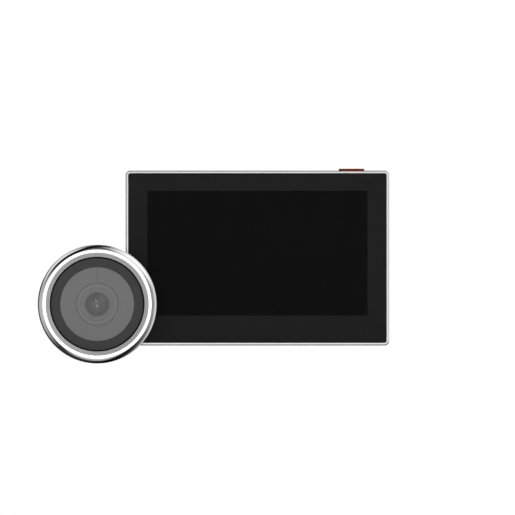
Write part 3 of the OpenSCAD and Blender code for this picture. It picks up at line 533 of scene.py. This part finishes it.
def black_rubber():
    """Silicone rubber, moulded: soft black, a little dusty. At the camera's mouth its near-black also stands for
    painted shade down in the gap.
    """
    material, tree, place = new_finish("silicone_rubber_black")
    dust = add(tree, "ShaderNodeTexNoise", {"Vector": place, "Scale": per(0.8), "Detail": 4})
    tone = add(
        tree, "ShaderNodeMix", {0: dust.outputs["Fac"], 6: linear("#050505"), 7: linear("#0a0a0a")}, data_type="RGBA"
    )
    gloss = add(tree, "ShaderNodeMapRange", {0: dust.outputs["Fac"], 3: 0.6, 4: 0.75})
    return finished(material, {
        "Base Color": tone.outputs[2], "Roughness": gloss.outputs["Result"], "Specular IOR Level": 0.1,
    })


def eva_foam():
    """EVA foam, die cut: matt black with cut cells, drawn about twice their size so that they show."""
    material, tree, place = new_finish("eva_foam_die_cut")
    cells = add(tree, "ShaderNodeTexVoronoi", {"Vector": place, "Scale": per(0.6), "Randomness": 1})
    tone = add(
        tree, "ShaderNodeMix", {0: cells.outputs["Distance"], 6: linear("#121213"), 7: linear("#272728")},
        data_type="RGBA",
    )
    gloss = add(tree, "ShaderNodeMapRange", {0: cells.outputs["Distance"], 3: 0.95, 4: 0.8})
    relief = add(
        tree, "ShaderNodeBump", {"Height": cells.outputs["Distance"], "Strength": 0.8, "Distance": 0.12 * MM}
    )
    return finished(material, {
        "Base Color": tone.outputs[2], "Roughness": gloss.outputs["Result"], "Normal": relief.outputs["Normal"],
    })


def zinc_steel():
    """Sheet steel, zinc-dipped: a cool grey in crystals a few millimetres wide, each with its own tone and gloss."""
    material, tree, place = new_finish("sheet_steel_zinc_dipped")
    crystals = add(tree, "ShaderNodeTexVoronoi", {"Vector": place, "Scale": per(2.6), "Randomness": 1})
    grain = add(tree, "ShaderNodeTexNoise", {"Vector": place, "Scale": per(0.5), "Detail": 3})
    facet = add(tree, "ShaderNodeSeparateColor", {"Color": crystals.outputs["Color"]}).outputs["Red"]
    tone = add(tree, "ShaderNodeMix", {0: facet, 6: linear("#a4a8ac"), 7: linear("#b9bcc0")}, data_type="RGBA")
    gloss = add(tree, "ShaderNodeMapRange", {0: facet, 3: 0.3, 4: 0.44})
    relief = add(tree, "ShaderNodeBump", {"Height": grain.outputs["Fac"], "Strength": 0.5, "Distance": 0.01 * MM})
    return finished(material, {
        "Base Color": tone.outputs[2], "Roughness": gloss.outputs["Result"], "Metallic": 1,
        "Normal": relief.outputs["Normal"],
    })


def nickel_brass():
    """Turned brass, nickel-plated: warm silver, with tool marks in rings round the barrel's axis."""
    material, tree, place = new_finish("brass_turned_nickel_plated")
    centred = add(tree, "ShaderNodeMapping", {"Vector": place, "Location": -HEAD})
    # Rings round a point on the axis run round the barrel and across its flat faces alike. The pattern repeats
    # every 2 pi / 20 of its scale; the tool marks are drawn 0.5 mm apart, coarser than they are, to show
    marks = add(
        tree, "ShaderNodeTexWave", {"Vector": centred.outputs["Vector"], "Scale": per(0.5) * math.tau / 20},
        wave_type="RINGS", rings_direction="SPHERICAL",
    )
    stain = add(tree, "ShaderNodeTexNoise", {"Vector": place, "Scale": per(4), "Detail": 3})
    tone = add(
        tree, "ShaderNodeMix", {0: stain.outputs["Fac"], 6: linear("#c6c5c1"), 7: linear("#b6b4af")}, data_type="RGBA"
    )
    gloss = add(tree, "ShaderNodeMapRange", {0: stain.outputs["Fac"], 3: 0.22, 4: 0.34})
    relief = add(tree, "ShaderNodeBump", {"Height": marks.outputs["Fac"], "Strength": 0.4, "Distance": 0.006 * MM})
    return finished(material, {
        "Base Color": tone.outputs[2], "Roughness": gloss.outputs["Result"], "Metallic": 1,
        "Normal": relief.outputs["Normal"],
    })


def screw_steel():
    """Cold-formed steel, nickel-plated: grey and slightly tumbled."""
    material, tree, place = new_finish("steel_nickel_plated")
    tumble = add(tree, "ShaderNodeTexNoise", {"Vector": place, "Scale": per(0.5), "Detail": 4})
    tone = add(
        tree, "ShaderNodeMix", {0: tumble.outputs["Fac"], 6: linear("#8b8e91"), 7: linear("#a6a9ac")},
        data_type="RGBA",
    )
    gloss = add(tree, "ShaderNodeMapRange", {0: tumble.outputs["Fac"], 3: 0.24, 4: 0.38})
    relief = add(tree, "ShaderNodeBump", {"Height": tumble.outputs["Fac"], "Strength": 0.4, "Distance": 0.006 * MM})
    return finished(material, {
        "Base Color": tone.outputs[2], "Roughness": gloss.outputs["Result"], "Metallic": 1,
        "Normal": relief.outputs["Normal"],
    })


def spring_bronze():
    """Phosphor bronze with a gold flash: thin, warm and slightly uneven."""
    material, tree, place = new_finish("phosphor_bronze_gold_flash")
    flash = add(tree, "ShaderNodeTexNoise", {"Vector": place, "Scale": per(1.2), "Detail": 3})
    tone = add(
        tree, "ShaderNodeMix", {0: flash.outputs["Fac"], 6: linear("#c6aa68"), 7: linear("#dac388")}, data_type="RGBA"
    )
    gloss = add(tree, "ShaderNodeMapRange", {0: flash.outputs["Fac"], 3: 0.24, 4: 0.36})
    return finished(material, {"Base Color": tone.outputs[2], "Roughness": gloss.outputs["Result"], "Metallic": 1})


def solder_mask():
    """Glass-epoxy board under green solder mask: copper tracks 0.5 mm wide show through as a lighter green."""
    material, tree, place = new_finish("solder_mask_green")
    laid = add(tree, "ShaderNodeMapping", {"Vector": place, "Rotation": (math.pi / 2, 0, 0)})
    tracks = add(
        tree, "ShaderNodeTexBrick",
        {
            "Vector": laid.outputs["Vector"], "Color1": linear("#1d5233"), "Color2": linear("#194a2e"),
            "Mortar": linear("#276a42"), "Scale": 1, "Brick Width": 7 * MM, "Row Height": 2 * MM,
            "Mortar Size": 0.25 * MM,
        },
    )
    weave = add(tree, "ShaderNodeTexNoise", {"Vector": place, "Scale": per(0.6), "Detail": 2})
    gloss = add(tree, "ShaderNodeMapRange", {0: weave.outputs["Fac"], 3: 0.28, 4: 0.42})
    return finished(material, {"Base Color": tracks.outputs["Color"], "Roughness": gloss.outputs["Result"]})


def chip_epoxy():
    """Transfer-moulded epoxy of the chips: charcoal, finely sanded."""
    material, tree, place = new_finish("epoxy_moulded_black")
    sand = add(tree, "ShaderNodeTexNoise", {"Vector": place, "Scale": per(0.3), "Detail": 2})
    tone = add(
        tree, "ShaderNodeMix", {0: sand.outputs["Fac"], 6: linear("#1c1d1f"), 7: linear("#2b2d30")}, data_type="RGBA"
    )
    gloss = add(tree, "ShaderNodeMapRange", {0: sand.outputs["Fac"], 3: 0.6, 4: 0.76})
    relief = add(tree, "ShaderNodeBump", {"Height": sand.outputs["Fac"], "Strength": 0.5, "Distance": 0.01 * MM})
    return finished(material, {
        "Base Color": tone.outputs[2], "Roughness": gloss.outputs["Result"], "Normal": relief.outputs["Normal"],
    })


def natural_nylon():
    """Nylon without pigment, moulded: a warm milky white that lets a little light in."""
    material, tree, place = new_finish("nylon_natural")
    flow = add(tree, "ShaderNodeTexNoise", {"Vector": place, "Scale": per(2), "Detail": 3})
    tone = add(
        tree, "ShaderNodeMix", {0: flow.outputs["Fac"], 6: linear("#e1dbca"), 7: linear("#eee9dd")}, data_type="RGBA"
    )
    gloss = add(tree, "ShaderNodeMapRange", {0: flow.outputs["Fac"], 3: 0.38, 4: 0.54})
    return finished(material, {
        "Base Color": tone.outputs[2], "Roughness": gloss.outputs["Result"], "Subsurface Weight": 0.1,
        "Subsurface Radius": (0.6 * MM, 0.5 * MM, 0.4 * MM),
    })


def polyimide_film():
    """Polyimide film over copper tracks: glossy amber with fine lines 0.5 mm apart along the cable."""
    material, tree, place = new_finish("polyimide_over_copper")
    lines = add(
        tree, "ShaderNodeTexWave", {"Vector": place, "Scale": per(0.5) * math.tau / 20}, bands_direction="X"
    )
    tone = add(
        tree, "ShaderNodeMix", {0: lines.outputs["Fac"], 6: linear("#a4601c"), 7: linear("#c08034")}, data_type="RGBA"
    )
    gloss = add(tree, "ShaderNodeMapRange", {0: lines.outputs["Fac"], 3: 0.24, 4: 0.34})
    return finished(material, {"Base Color": tone.outputs[2], "Roughness": gloss.outputs["Result"]})


def button_plastic():
    """Polycarbonate, moulded in red-brown: satin, with the faint grain of its mould."""
    material, tree, place = new_finish("polycarbonate_red_brown")
    grain = add(tree, "ShaderNodeTexNoise", {"Vector": place, "Scale": per(0.4), "Detail": 3})
    tone = add(
        tree, "ShaderNodeMix", {0: grain.outputs["Fac"], 6: linear("#752205"), 7: linear("#7d2807")}, data_type="RGBA"
    )
    gloss = add(tree, "ShaderNodeMapRange", {0: grain.outputs["Fac"], 3: 0.34, 4: 0.46})
    relief = add(tree, "ShaderNodeBump", {"Height": grain.outputs["Fac"], "Strength": 0.5, "Distance": 0.008 * MM})
    return finished(material, {
        "Base Color": tone.outputs[2], "Roughness": gloss.outputs["Result"], "Specular IOR Level": 0.1,
        "Normal": relief.outputs["Normal"],
    })


def shrink_film():
    """Heat-shrink film round the battery: blue-grey gloss, drawn into soft creases."""
    material, tree, place = new_finish("heat_shrink_film")
    drawn_in = add(tree, "ShaderNodeMapping", {"Vector": place, "Scale": (1, 1, 0.25)})
    creases = add(
        tree, "ShaderNodeTexNoise", {"Vector": drawn_in.outputs["Vector"], "Scale": per(2.5), "Detail": 3}
    )
    tone = add(
        tree, "ShaderNodeMix", {0: creases.outputs["Fac"], 6: linear("#36414d"), 7: linear("#455262")},
        data_type="RGBA",
    )
    gloss = add(tree, "ShaderNodeMapRange", {0: creases.outputs["Fac"], 3: 0.22, 4: 0.38})
    relief = add(tree, "ShaderNodeBump", {"Height": creases.outputs["Fac"], "Strength": 0.5, "Distance": 0.08 * MM})
    return finished(material, {
        "Base Color": tone.outputs[2], "Roughness": gloss.outputs["Result"], "Normal": relief.outputs["Normal"],
    })


def paper():
    """Backdrop paper, unrolled on the floor: matt and almost white."""
    material, tree, place = new_finish("paper_off_white")
    pulp = add(tree, "ShaderNodeTexNoise", {"Vector": place, "Scale": per(40), "Detail": 3})
    tone = add(
        tree, "ShaderNodeMix", {0: pulp.outputs["Fac"], 6: linear("#f6f6f5"), 7: linear("#fafaf9")}, data_type="RGBA"
    )
    gloss = add(tree, "ShaderNodeMapRange", {0: pulp.outputs["Fac"], 3: 0.8, 4: 0.95})
    return finished(material, {"Base Color": tone.outputs[2], "Roughness": gloss.outputs["Result"]})


CHROME = chrome_plate()
SILVER = silver_lacquer()
ALUMINIUM = blasted_aluminium()
PRINTED_GLASS = cover_glass_finish("glass_printed_black", "#1e1e1e", "#212121")
DISPLAY_GLASS = cover_glass_finish("glass_over_dark_display", "#0b0b0b", "#0e0e0e")
ABS = textured_abs()
DISC_GREY = grey_paint("paint_satin_grey", "#6c6c6c", "#6f6f6f")
COLLAR_GREY = grey_paint("paint_satin_pale_grey", "#707070", "#737373")
INFRARED = infrared_acrylic()
LENS = coated_lens()
RUBBER = black_rubber()
FOAM = eva_foam()
ZINC = zinc_steel()
NICKEL = nickel_brass()
STEEL = screw_steel()
BUTTON = button_plastic()

FINISHES = {
    "bracket_steel": ZINC, "barrel_metal": NICKEL, "chrome": CHROME, "case_black": ABS, "frame_silver": ALUMINIUM,
    "cover_glass": PRINTED_GLASS, "display": DISPLAY_GLASS, "white_plastic": natural_nylon(), "foam": FOAM,
    "ir_dark": INFRARED, "face_grey": DISC_GREY, "lens_glass": LENS, "clear_glass": clear_glass(),
    "board_green": solder_mask(), "chip_black": chip_epoxy(), "contact_metal": spring_bronze(), "screw_steel": STEEL,
    "flex_amber": polyimide_film(), "button_red": BUTTON, "battery_wrap": shrink_film(),
}


# The camera

def chrome_ring():
    """Straight skirt, rounded edge, bright crest band, and a lacquered cone down to the mouth."""
    crest_slope, cone_slope = math.radians(CREST_SLOPE), math.radians(CONE_SLOPE)
    mouth, outer = radius("bezel_seal") + MOUTH_GAP, radius("chrome_bezel")
    crest = mouth + CONE_W
    shoulder = crest + CREST_W
    skirt, top = back_of("chrome_bezel"), front_of("chrome_bezel")
    # The rounded edge runs on from the crest band without a corner
    edge_round = (outer - shoulder) / (1 - math.sin(crest_slope))
    edge_middle = (outer - edge_round, top - CREST_W * math.tan(crest_slope) - edge_round * math.cos(crest_slope))
    lean = (cone_slope - crest_slope) / 2
    reach = CREST_ROUND / math.cos((cone_slope + crest_slope) / 2)
    fold = (crest + reach * math.sin(lean), top - reach * math.cos(lean))
    brow = arc(fold, CREST_ROUND, 90 - CREST_SLOPE, 90 + CONE_SLOPE, CREST_STEPS)
    # A point on either side of the rounded crest keeps the band and the cone straight up to it
    outside = (brow[0][0] + CREST_HOLD, brow[0][1] - CREST_HOLD * math.tan(crest_slope))
    inside = (brow[-1][0] - CREST_HOLD, brow[-1][1] - CREST_HOLD * math.tan(cone_slope))
    piece = turned("chrome_ring", [
        (outer - SKIRT_WALL, skirt), (outer - RING_EDGE, skirt), (outer, skirt + RING_EDGE),
        *arc(edge_middle, edge_round, 0, 90 - CREST_SLOPE, SHOULDER_STEPS),
        outside, *brow, inside,
        (mouth, top - CONE_W * math.tan(cone_slope)),
        (mouth, RING_FLOOR), (outer - SKIRT_WALL, RING_FLOOR),
    ], steps=MIRROR_STEPS)
    stand_in(piece, "chrome_bezel", CHROME, SILVER)
    for face in piece.data.polygons:
        out = face.center - HEAD
        face.material_index = int(Vector((out.x, out.z)).length < fold[0] * MM and -out.y > RING_FLOOR * MM)


def flat_ring(name, node, r_in, edge, finish):
    profile = ring_profile(r_in, radius(node), back_of(node), front_of(node), edge)
    return stand_in(turned(name, profile), node, finish)


def face_disc():
    """Grey disc around the lens, with a fine index groove at 12 o'clock."""
    piece = flat_ring("face_disc", "face_plate", radius("lens_collar") + RING_GAP, RING_EDGE, DISC_GREY)
    bpy.ops.object.mode_set(mode="EDIT")

    def upper_front(face, at):
        return face.normal.y < -FACING and at.z > HEAD.z

    for side in (-1, 1):
        pick(piece, "FACE", upper_front)
        bpy.ops.mesh.bisect(plane_co=HEAD + Vector((side * INDEX_W / 2 * MM, 0, 0)), plane_no=(1, 0, 0))
    pick(piece, "FACE", lambda face, at: upper_front(face, at) and abs(at.x - HEAD.x) < INDEX_W / 2 * MM)
    bpy.ops.mesh.extrude_region_move(TRANSFORM_OT_translate={"value": (0, INDEX_D * MM, 0)})
    close_piece(piece)


def lens_collar():
    """Collar that steps down to the lens in two fine rings."""
    bore, outer = radius("fisheye_lens") + LENS_GAP, radius("lens_collar")
    low, top = back_of("lens_collar"), front_of("lens_collar")
    edge = arc((outer - RING_EDGE, top - RING_EDGE), RING_EDGE, 0, 90, ROUND_STEPS)
    profile = [(bore, low), (outer, low), *edge]
    for step, r in enumerate((COLLAR_MID, COLLAR_LOW)):
        level = top - step * COLLAR_STEP
        profile += [(r + COLLAR_EDGE, level), (r, level - COLLAR_EDGE), (r, level - COLLAR_STEP)]
    profile.append((bore, top - 2 * COLLAR_STEP))
    stand_in(turned("lens_steps", profile), "lens_collar", COLLAR_GREY)


def front_lens():
    """Domed front lens, ground to a sphere."""
    r, low, top = radius("fisheye_lens"), back_of("fisheye_lens"), front_of("fisheye_lens")
    sphere = (r * r + DOME_H * DOME_H) / (2 * DOME_H)
    rim = math.degrees(math.acos(r / sphere))
    profile = [(0, low), (r, low), *arc((0, top - sphere), sphere, rim, 90, DOME_STEPS)]
    stand_in(turned("front_lens", profile, closed=False), "fisheye_lens", LENS)


def threaded_barrel():
    """Turned barrel, with a real helical thread on its free end."""
    root = BARREL_R - THREAD_H
    free_end, flange = back_of("door_barrel"), front_of("door_barrel")
    core = turned("barrel", [
        (BARREL_BORE, free_end), (root - THREAD_H, free_end), (root, free_end + THREAD_H),
        (root, flange - FLANGE_T), (radius("door_barrel"), flange - FLANGE_T),
        (radius("door_barrel"), flange), (BARREL_BORE, flange),
    ])
    turns = int((THREAD_LEN - 3 * THREAD_H) / THREAD_PITCH)
    half_base = THREAD_BASE / 2 * THREAD_PITCH
    start = free_end + 2 * THREAD_H + half_base
    foot = root - THREAD_ROOTED
    thread = drawn("thread", [(foot, start - half_base), (BARREL_R, start), (foot, start + half_base)], True)
    bpy.ops.transform.translate(value=-HEAD)
    bpy.ops.object.mode_set(mode="OBJECT")
    apply_modifier(
        thread, "SCREW", axis="Y", angle=math.tau * turns, screw_offset=-turns * THREAD_PITCH * MM,
        steps=THREAD_STEPS * turns, render_steps=THREAD_STEPS * turns, use_smooth_shade=False,
    )
    bpy.ops.object.mode_set(mode="EDIT")
    pick(thread, "EDGE", lambda edge, at: edge.is_boundary)
    bpy.ops.mesh.edge_face_add()
    bpy.ops.mesh.select_all(action="SELECT")
    bpy.ops.transform.translate(value=HEAD)
    close_piece(thread)
    stand_in(join_pieces([core, thread]), "door_barrel", NICKEL)


chrome_ring()
face_disc()
lens_collar()
front_lens()
flat_ring("infrared_window", "ir_window", radius("face_plate") + RING_GAP, RING_EDGE, INFRARED)
# Black rubber seal at the mouth of the chrome ring; its near-black is partly painted shade, standing for the shadow
# in the gap there
flat_ring("mouth_seal", "bezel_seal", radius("ir_window") + SEAL_GAP, SEAL_EDGE, RUBBER)
flat_ring("foam_gasket", "door_gasket", FOAM_BORE, FOAM_EDGE, FOAM)
threaded_barrel()
stand_in(dressed_copy("ring_nut", "clamp_nut", NUT_EDGE), "clamp_nut", NICKEL)
stand_in(dressed_copy("thrust_washer", "clamp_washer", WASHER_EDGE), "clamp_washer", ZINC)
stand_in(dressed_copy("cable_inlet", "cable_grommet", INLET_EDGE), "cable_grommet", RUBBER)


# The monitor

def cover_glass():
    """Cover lens with rounded corners; its front is printed black around the picture window."""
    lo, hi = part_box("cover_lens")
    size = hi - lo
    bpy.ops.object.select_all(action="DESELECT")
    bpy.ops.mesh.primitive_cube_add(size=1)
    piece = start_piece("cover_glass")
    bpy.ops.transform.resize(value=size)
    bpy.ops.transform.translate(value=(lo + hi) / 2)
    pick(piece, "EDGE", lambda edge, at: abs(edge.verts[0].co.y - edge.verts[1].co.y) > size.y / 2)
    bpy.ops.mesh.bevel(offset=LENS_CORNER * MM, segments=6, affect="EDGES")
    pick(piece, "EDGE", lambda edge, at: max(v.co.y for v in edge.verts) < lo.y + WELD)
    bpy.ops.mesh.bevel(offset=LENS_EDGE * MM, segments=2, affect="EDGES")
    window_lo = lo + Vector((BORDER_SIDE, 0, BORDER_BOTTOM)) * MM
    window_hi = hi - Vector((BORDER_SIDE, 0, BORDER_TOP)) * MM
    for corner in (window_lo, window_hi):
        for normal in ((1, 0, 0), (0, 0, 1)):
            pick(piece, "FACE", lambda face, at: face.normal.y < -FACING)
            bpy.ops.mesh.bisect(plane_co=corner, plane_no=normal)
    close_piece(piece)
    stand_in(piece, "cover_lens", PRINTED_GLASS, DISPLAY_GLASS)
    for face in piece.data.polygons:
        at = face.center
        in_window = window_lo.x < at.x < window_hi.x and window_lo.z < at.z < window_hi.z
        face.material_index = int(face.normal.y < -FACING and in_window)


def cross_screw():
    """Pan-head screw with a cross recess, standing upright at the origin with its head's middle there."""
    lo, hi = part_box("case_screws")
    half_head = SCREW_HEAD_T / 2 * MM
    bpy.ops.object.select_all(action="DESELECT")
    bpy.ops.mesh.primitive_cylinder_add(vertices=48, radius=SCREW_HEAD_R * MM, depth=2 * half_head)
    screw = start_piece("cover_screws")
    pick(screw, "FACE", lambda face, at: face.normal.z < -FACING)
    bpy.ops.mesh.inset(thickness=(SCREW_HEAD_R - SCREW_SHANK_R) * MM)
    shank = hi.y - lo.y - 2 * half_head
    bpy.ops.mesh.extrude_region_move(TRANSFORM_OT_translate={"value": (0, 0, -shank)})
    pick(screw, "EDGE", lambda edge, at: min(v.co.z for v in edge.verts) > half_head - WELD)
    bpy.ops.mesh.bevel(offset=SCREW_ROUND * MM, segments=4, affect="EDGES")
    bpy.ops.object.mode_set(mode="OBJECT")
    for long_x, long_y in ((RECESS_LEN, RECESS_W), (RECESS_W, RECESS_LEN)):
        bpy.ops.object.select_all(action="DESELECT")
        bpy.ops.mesh.primitive_cube_add(size=1)
        slot = start_piece("recess")
        bpy.ops.transform.resize(value=(long_x * MM, long_y * MM, 2 * RECESS_D * MM))
        bpy.ops.transform.translate(value=(0, 0, half_head))
        bpy.ops.object.mode_set(mode="OBJECT")
        cut_away(screw, slot)
    bpy.ops.object.mode_set(mode="EDIT")
    return close_piece(screw)


def case_screws():
    """The screw, turned to face the door and copied to the four posts of the case."""
    lo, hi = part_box("case_screws")
    inset = SCREW_HEAD_R * MM
    screw = cross_screw()
    bpy.ops.object.select_all(action="DESELECT")
    screw.select_set(True)
    bpy.context.view_layer.objects.active = screw
    screw.rotation_euler = (-math.pi / 2, 0, 0)
    screw.location = (lo.x + inset, hi.y - SCREW_HEAD_T / 2 * MM, lo.z + inset)
    bpy.ops.object.transform_apply(location=True, rotation=True, scale=True)
    across, upward = hi.x - lo.x - 2 * inset, hi.z - lo.z - 2 * inset
    screws = [screw]
    for shift in ((across, 0, 0), (0, 0, upward), (across, 0, upward)):
        bpy.ops.object.select_all(action="DESELECT")
        screw.select_set(True)
        bpy.context.view_layer.objects.active = screw
        bpy.ops.object.duplicate()
        bpy.ops.transform.translate(value=shift)
        bpy.ops.object.transform_apply(location=True, rotation=True, scale=True)
        screws.append(bpy.context.object)
    stand_in(join_pieces(screws), "case_screws", STEEL)


cover_glass()
case_screws()
stand_in(dressed_copy("metal_frame", "front_frame"), "front_frame", ALUMINIUM)
stand_in(dressed_copy("back_cover", "rear_cover"), "rear_cover", ABS)
stand_in(dressed_copy("battery_cover", "battery_door"), "battery_door", ABS)
stand_in(dressed_copy("perforated_plate", "speaker_grille"), "speaker_grille", ABS)
stand_in(dressed_copy("push_button", "power_button"), "power_button", BUTTON)
stand_in(dressed_copy("charge_shell", "charge_socket"), "charge_socket", STEEL)
stand_in(dressed_copy("hook_plate", "door_bracket", BRACKET_EDGE), "door_bracket", ZINC)

# What stays as CAD: inner pieces, each with the finish of its slot
for node in nodes.values():
    node.data.materials[0] = FINISHES[node.data.materials[0].name]


# Floor, light and camera

def toward(clock, off):
    """Direction at a clock angle round the line of sight and an angle off it, as seen from the object."""
    c, o = math.radians(clock), math.radians(off)
    return Vector((math.sin(o) * math.sin(c), -math.cos(o), math.sin(o) * math.cos(c)))


def cosine(angle):
    return math.cos(math.radians(angle))


def soft_box(tree, ray, clock, off, level, full, end):
    """Glow of a round soft box in a direction of the studio, at its level up to one angle and gone at another."""
    facing = add(tree, "ShaderNodeVectorMath", {0: ray, 1: toward(clock, off)}, operation="DOT_PRODUCT")
    glow = add(
        tree, "ShaderNodeMapRange", {0: facing.outputs["Value"], 1: cosine(end), 2: cosine(full), 3: 0, 4: level},
        interpolation_type="SMOOTHSTEP",
    )
    return glow.outputs["Result"]


def dark_strip(tree, ray, side, core, edge, upward):
    """Cover of a black flag whose flat side faces one way, from overhead (1) or from below (-1) to the middle."""
    beside = add(tree, "ShaderNodeVectorMath", {0: ray, 1: side}, operation="DOT_PRODUCT")
    away = add(tree, "ShaderNodeMath", {0: beside.outputs["Value"]}, operation="ABSOLUTE")
    cover = add(
        tree, "ShaderNodeMapRange", {0: away.outputs["Value"], 1: core, 2: edge, 3: FLAG_COVER, 4: 0},
        interpolation_type="SMOOTHSTEP",
    )
    height = add(tree, "ShaderNodeVectorMath", {0: ray, 1: (0, 0, upward)}, operation="DOT_PRODUCT")
    half = add(
        tree, "ShaderNodeMapRange", {0: height.outputs["Value"], 1: FLAG_FOOT, 2: FLAG_FULL},
        interpolation_type="SMOOTHSTEP",
    )
    both = add(
        tree, "ShaderNodeMath", {0: cover.outputs["Result"], 1: half.outputs["Result"]}, operation="MULTIPLY"
    )
    return both.outputs["Value"]


def studio_light():
    """A dim studio: soft boxes round the camera, two black flags that chrome shows as lines, and a ring light
    with the camera's own dark disc in it. Its backdrop is white to the eye."""
    world = bpy.data.worlds.new("studio")
    bpy.context.scene.world = world
    world.use_nodes = True
    tree = world.node_tree
    tree.nodes.clear()
    ray = add(tree, "ShaderNodeTexCoord").outputs["Generated"]
    level = STUDIO_LEVEL
    for soft in SOFT_BOXES:
        glow = soft_box(tree, ray, *soft)
        level = add(tree, "ShaderNodeMath", {0: level, 1: glow}, operation="ADD").outputs["Value"]
    for strip in DARK_STRIPS:
        left = add(tree, "ShaderNodeMath", {0: 1, 1: dark_strip(tree, ray, *strip)}, operation="SUBTRACT")
        shade = add(tree, "ShaderNodeMath", {0: level, 1: left.outputs["Value"]}, operation="MULTIPLY")
        level = shade.outputs["Value"]
    ring = add(tree, "ShaderNodeMath", {0: level, 1: soft_box(tree, ray, *RING_LIGHT)}, operation="ADD")
    open_sight = add(tree, "ShaderNodeMath", {0: 1, 1: soft_box(tree, ray, *CAMERA_DISC)}, operation="SUBTRACT")
    light = add(
        tree, "ShaderNodeMath", {0: ring.outputs["Value"], 1: open_sight.outputs["Value"]}, operation="MULTIPLY"
    )
    studio = add(tree, "ShaderNodeBackground", {"Color": (1, 1, 1, 1), "Strength": light.outputs["Value"]})
    backdrop = add(tree, "ShaderNodeBackground", {"Color": (1, 1, 1, 1), "Strength": 1})
    seen = add(tree, "ShaderNodeLightPath").outputs["Is Camera Ray"]
    mixed = add(tree, "ShaderNodeMixShader", {0: seen, 1: studio.outputs[0], 2: backdrop.outputs[0]})
    add(tree, "ShaderNodeOutputWorld", {"Surface": mixed.outputs[0]})


def own_lamp(name, piece, aim, clock, off, r, glow):
    """A round lamp a metre away for one piece alone; its light and its reflection fall on nothing else."""
    bpy.ops.object.light_add(type="AREA", location=aim + toward(clock, off))
    lamp = bpy.context.object
    lamp.name = name
    lamp.data.shape = "DISK"
    lamp.data.size = 2 * r
    lamp.data.energy = glow * (math.pi * r) ** 2
    lamp.rotation_euler = (-toward(clock, off)).to_track_quat("-Z", "Y").to_euler()
    lit_alone = bpy.data.collections.new(name)
    lit_alone.objects.link(bpy.data.objects[piece])
    lamp.light_linking.receiver_collection = lit_alone


def bounce_card():
    """A white card over the monitor's front that the chrome ring alone sees, so that the ring shines right up to its
    edge beside the black glass."""
    lo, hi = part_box("front_frame")
    bpy.ops.object.light_add(type="AREA", location=middle("front_frame"), rotation=(-math.pi / 2, 0, 0))
    card = bpy.context.object
    card.name = "bounce_card"
    card.location.y = lo.y - CARD_LIFT * MM
    card.data.shape = "RECTANGLE"
    card.data.size = hi.x - lo.x
    card.data.size_y = hi.z - lo.z
    card.data.energy = CARD_GLOW * math.pi * card.data.size * card.data.size_y
    card.visible_camera = False
    ring_alone = bpy.data.collections.new("bounce_card")
    ring_alone.objects.link(bpy.data.objects["chrome_ring"])
    card.light_linking.receiver_collection = ring_alone


def soft_panel(name, place, size, power):
    """A large panel that softly lights the pieces but not the floor, and doesn't show in the gloss."""
    bpy.ops.object.light_add(type="AREA", location=place)
    panel = bpy.context.object
    panel.name = name
    panel.data.size = size
    panel.data.energy = power
    panel.rotation_euler = (-Vector(place)).to_track_quat("-Z", "Y").to_euler()
    panel.visible_glossy = False
    panel.light_linking.receiver_collection = bpy.data.collections["floor_left_out"]


def floor():
    """Paper just below the camera's ring, lit evenly by an overhead sky of its own, which keeps soft shadows."""
    low = cad_box[0].z - FLOOR_GAP * MM
    bpy.ops.object.select_all(action="DESELECT")
    bpy.ops.mesh.primitive_circle_add(vertices=96, radius=FLOOR_R, fill_type="NGON")
    ground = start_piece("floor")
    bpy.ops.transform.translate(value=(0, 0, low))
    bpy.ops.object.mode_set(mode="OBJECT")
    ground.data.materials.append(paper())
    ground.visible_glossy = False
    bpy.ops.object.light_add(type="SUN", location=(0, 0, 1))
    sky = bpy.context.object
    sky.name = "floor_sky"
    sky.data.energy = FLOOR_LIGHT
    sky.data.angle = math.radians(SKY_ANGLE)
    floor_alone = bpy.data.collections.new("floor_alone")
    floor_alone.objects.link(ground)
    sky.light_linking.receiver_collection = floor_alone
    left_out = bpy.data.collections.new("floor_left_out")
    left_out.objects.link(ground)
    left_out.collection_objects[0].light_linking.link_state = "EXCLUDE"


def camera():
    """Looks straight at the door, with no perspective, as a catalogue view does."""
    bpy.ops.object.camera_add(location=(VIEW_X * MM, -1, VIEW_Z * MM), rotation=(math.pi / 2, 0, 0))
    eye = bpy.context.object
    eye.data.type = "ORTHO"
    eye.data.ortho_scale = VIEW_W * MM
    bpy.context.scene.camera = eye


# Lamps: the piece that each lights, what it is aimed at, clock angle, angle off the line of sight, and the lamp's
# radius in metres and glow
LAMPS = (
    ("lens_upper_lamp", "front_lens", HEAD, 339, 22.2, 0.08, 20),
    ("lens_lower_lamp", "front_lens", HEAD, 178, 13.3, 0.08, 42),
    ("frame_front_lamp", "metal_frame", middle("front_frame"), 180, 1.5, 0.19, 2.1),
    ("frame_side_lamp", "metal_frame", middle("front_frame"), 90, 80, 0.4, 1.9),
    ("frame_over_lamp", "metal_frame", middle("front_frame"), 0, 85, 0.3, 1.6),
    ("frame_rear_lamp", "metal_frame", middle("front_frame"), 303, 130, 0.5, 0.7),
    ("bracket_side_lamp", "hook_plate", middle("door_bracket"), 255, 134, 0.6, 0.7),
    ("bracket_back_lamp", "hook_plate", middle("door_bracket"), 180, 168, 0.45, 0.5),
)

# Panels, in metres: place, side and power
PANELS = (
    ("front_panel", (-0.2, -1.5, 0.5), 1.2, 6.2),
    ("overhead_panel", (0, 0.2, 1.4), 1.6, 9),
    ("rear_panel", (0.3, 1.4, 0.7), 1.2, 6),
)

studio_light()
bounce_card()
for lamp in LAMPS:
    own_lamp(*lamp)
floor()
for panel in PANELS:
    soft_panel(*panel)
camera()
bpy.context.scene.view_settings.view_transform = "Standard"
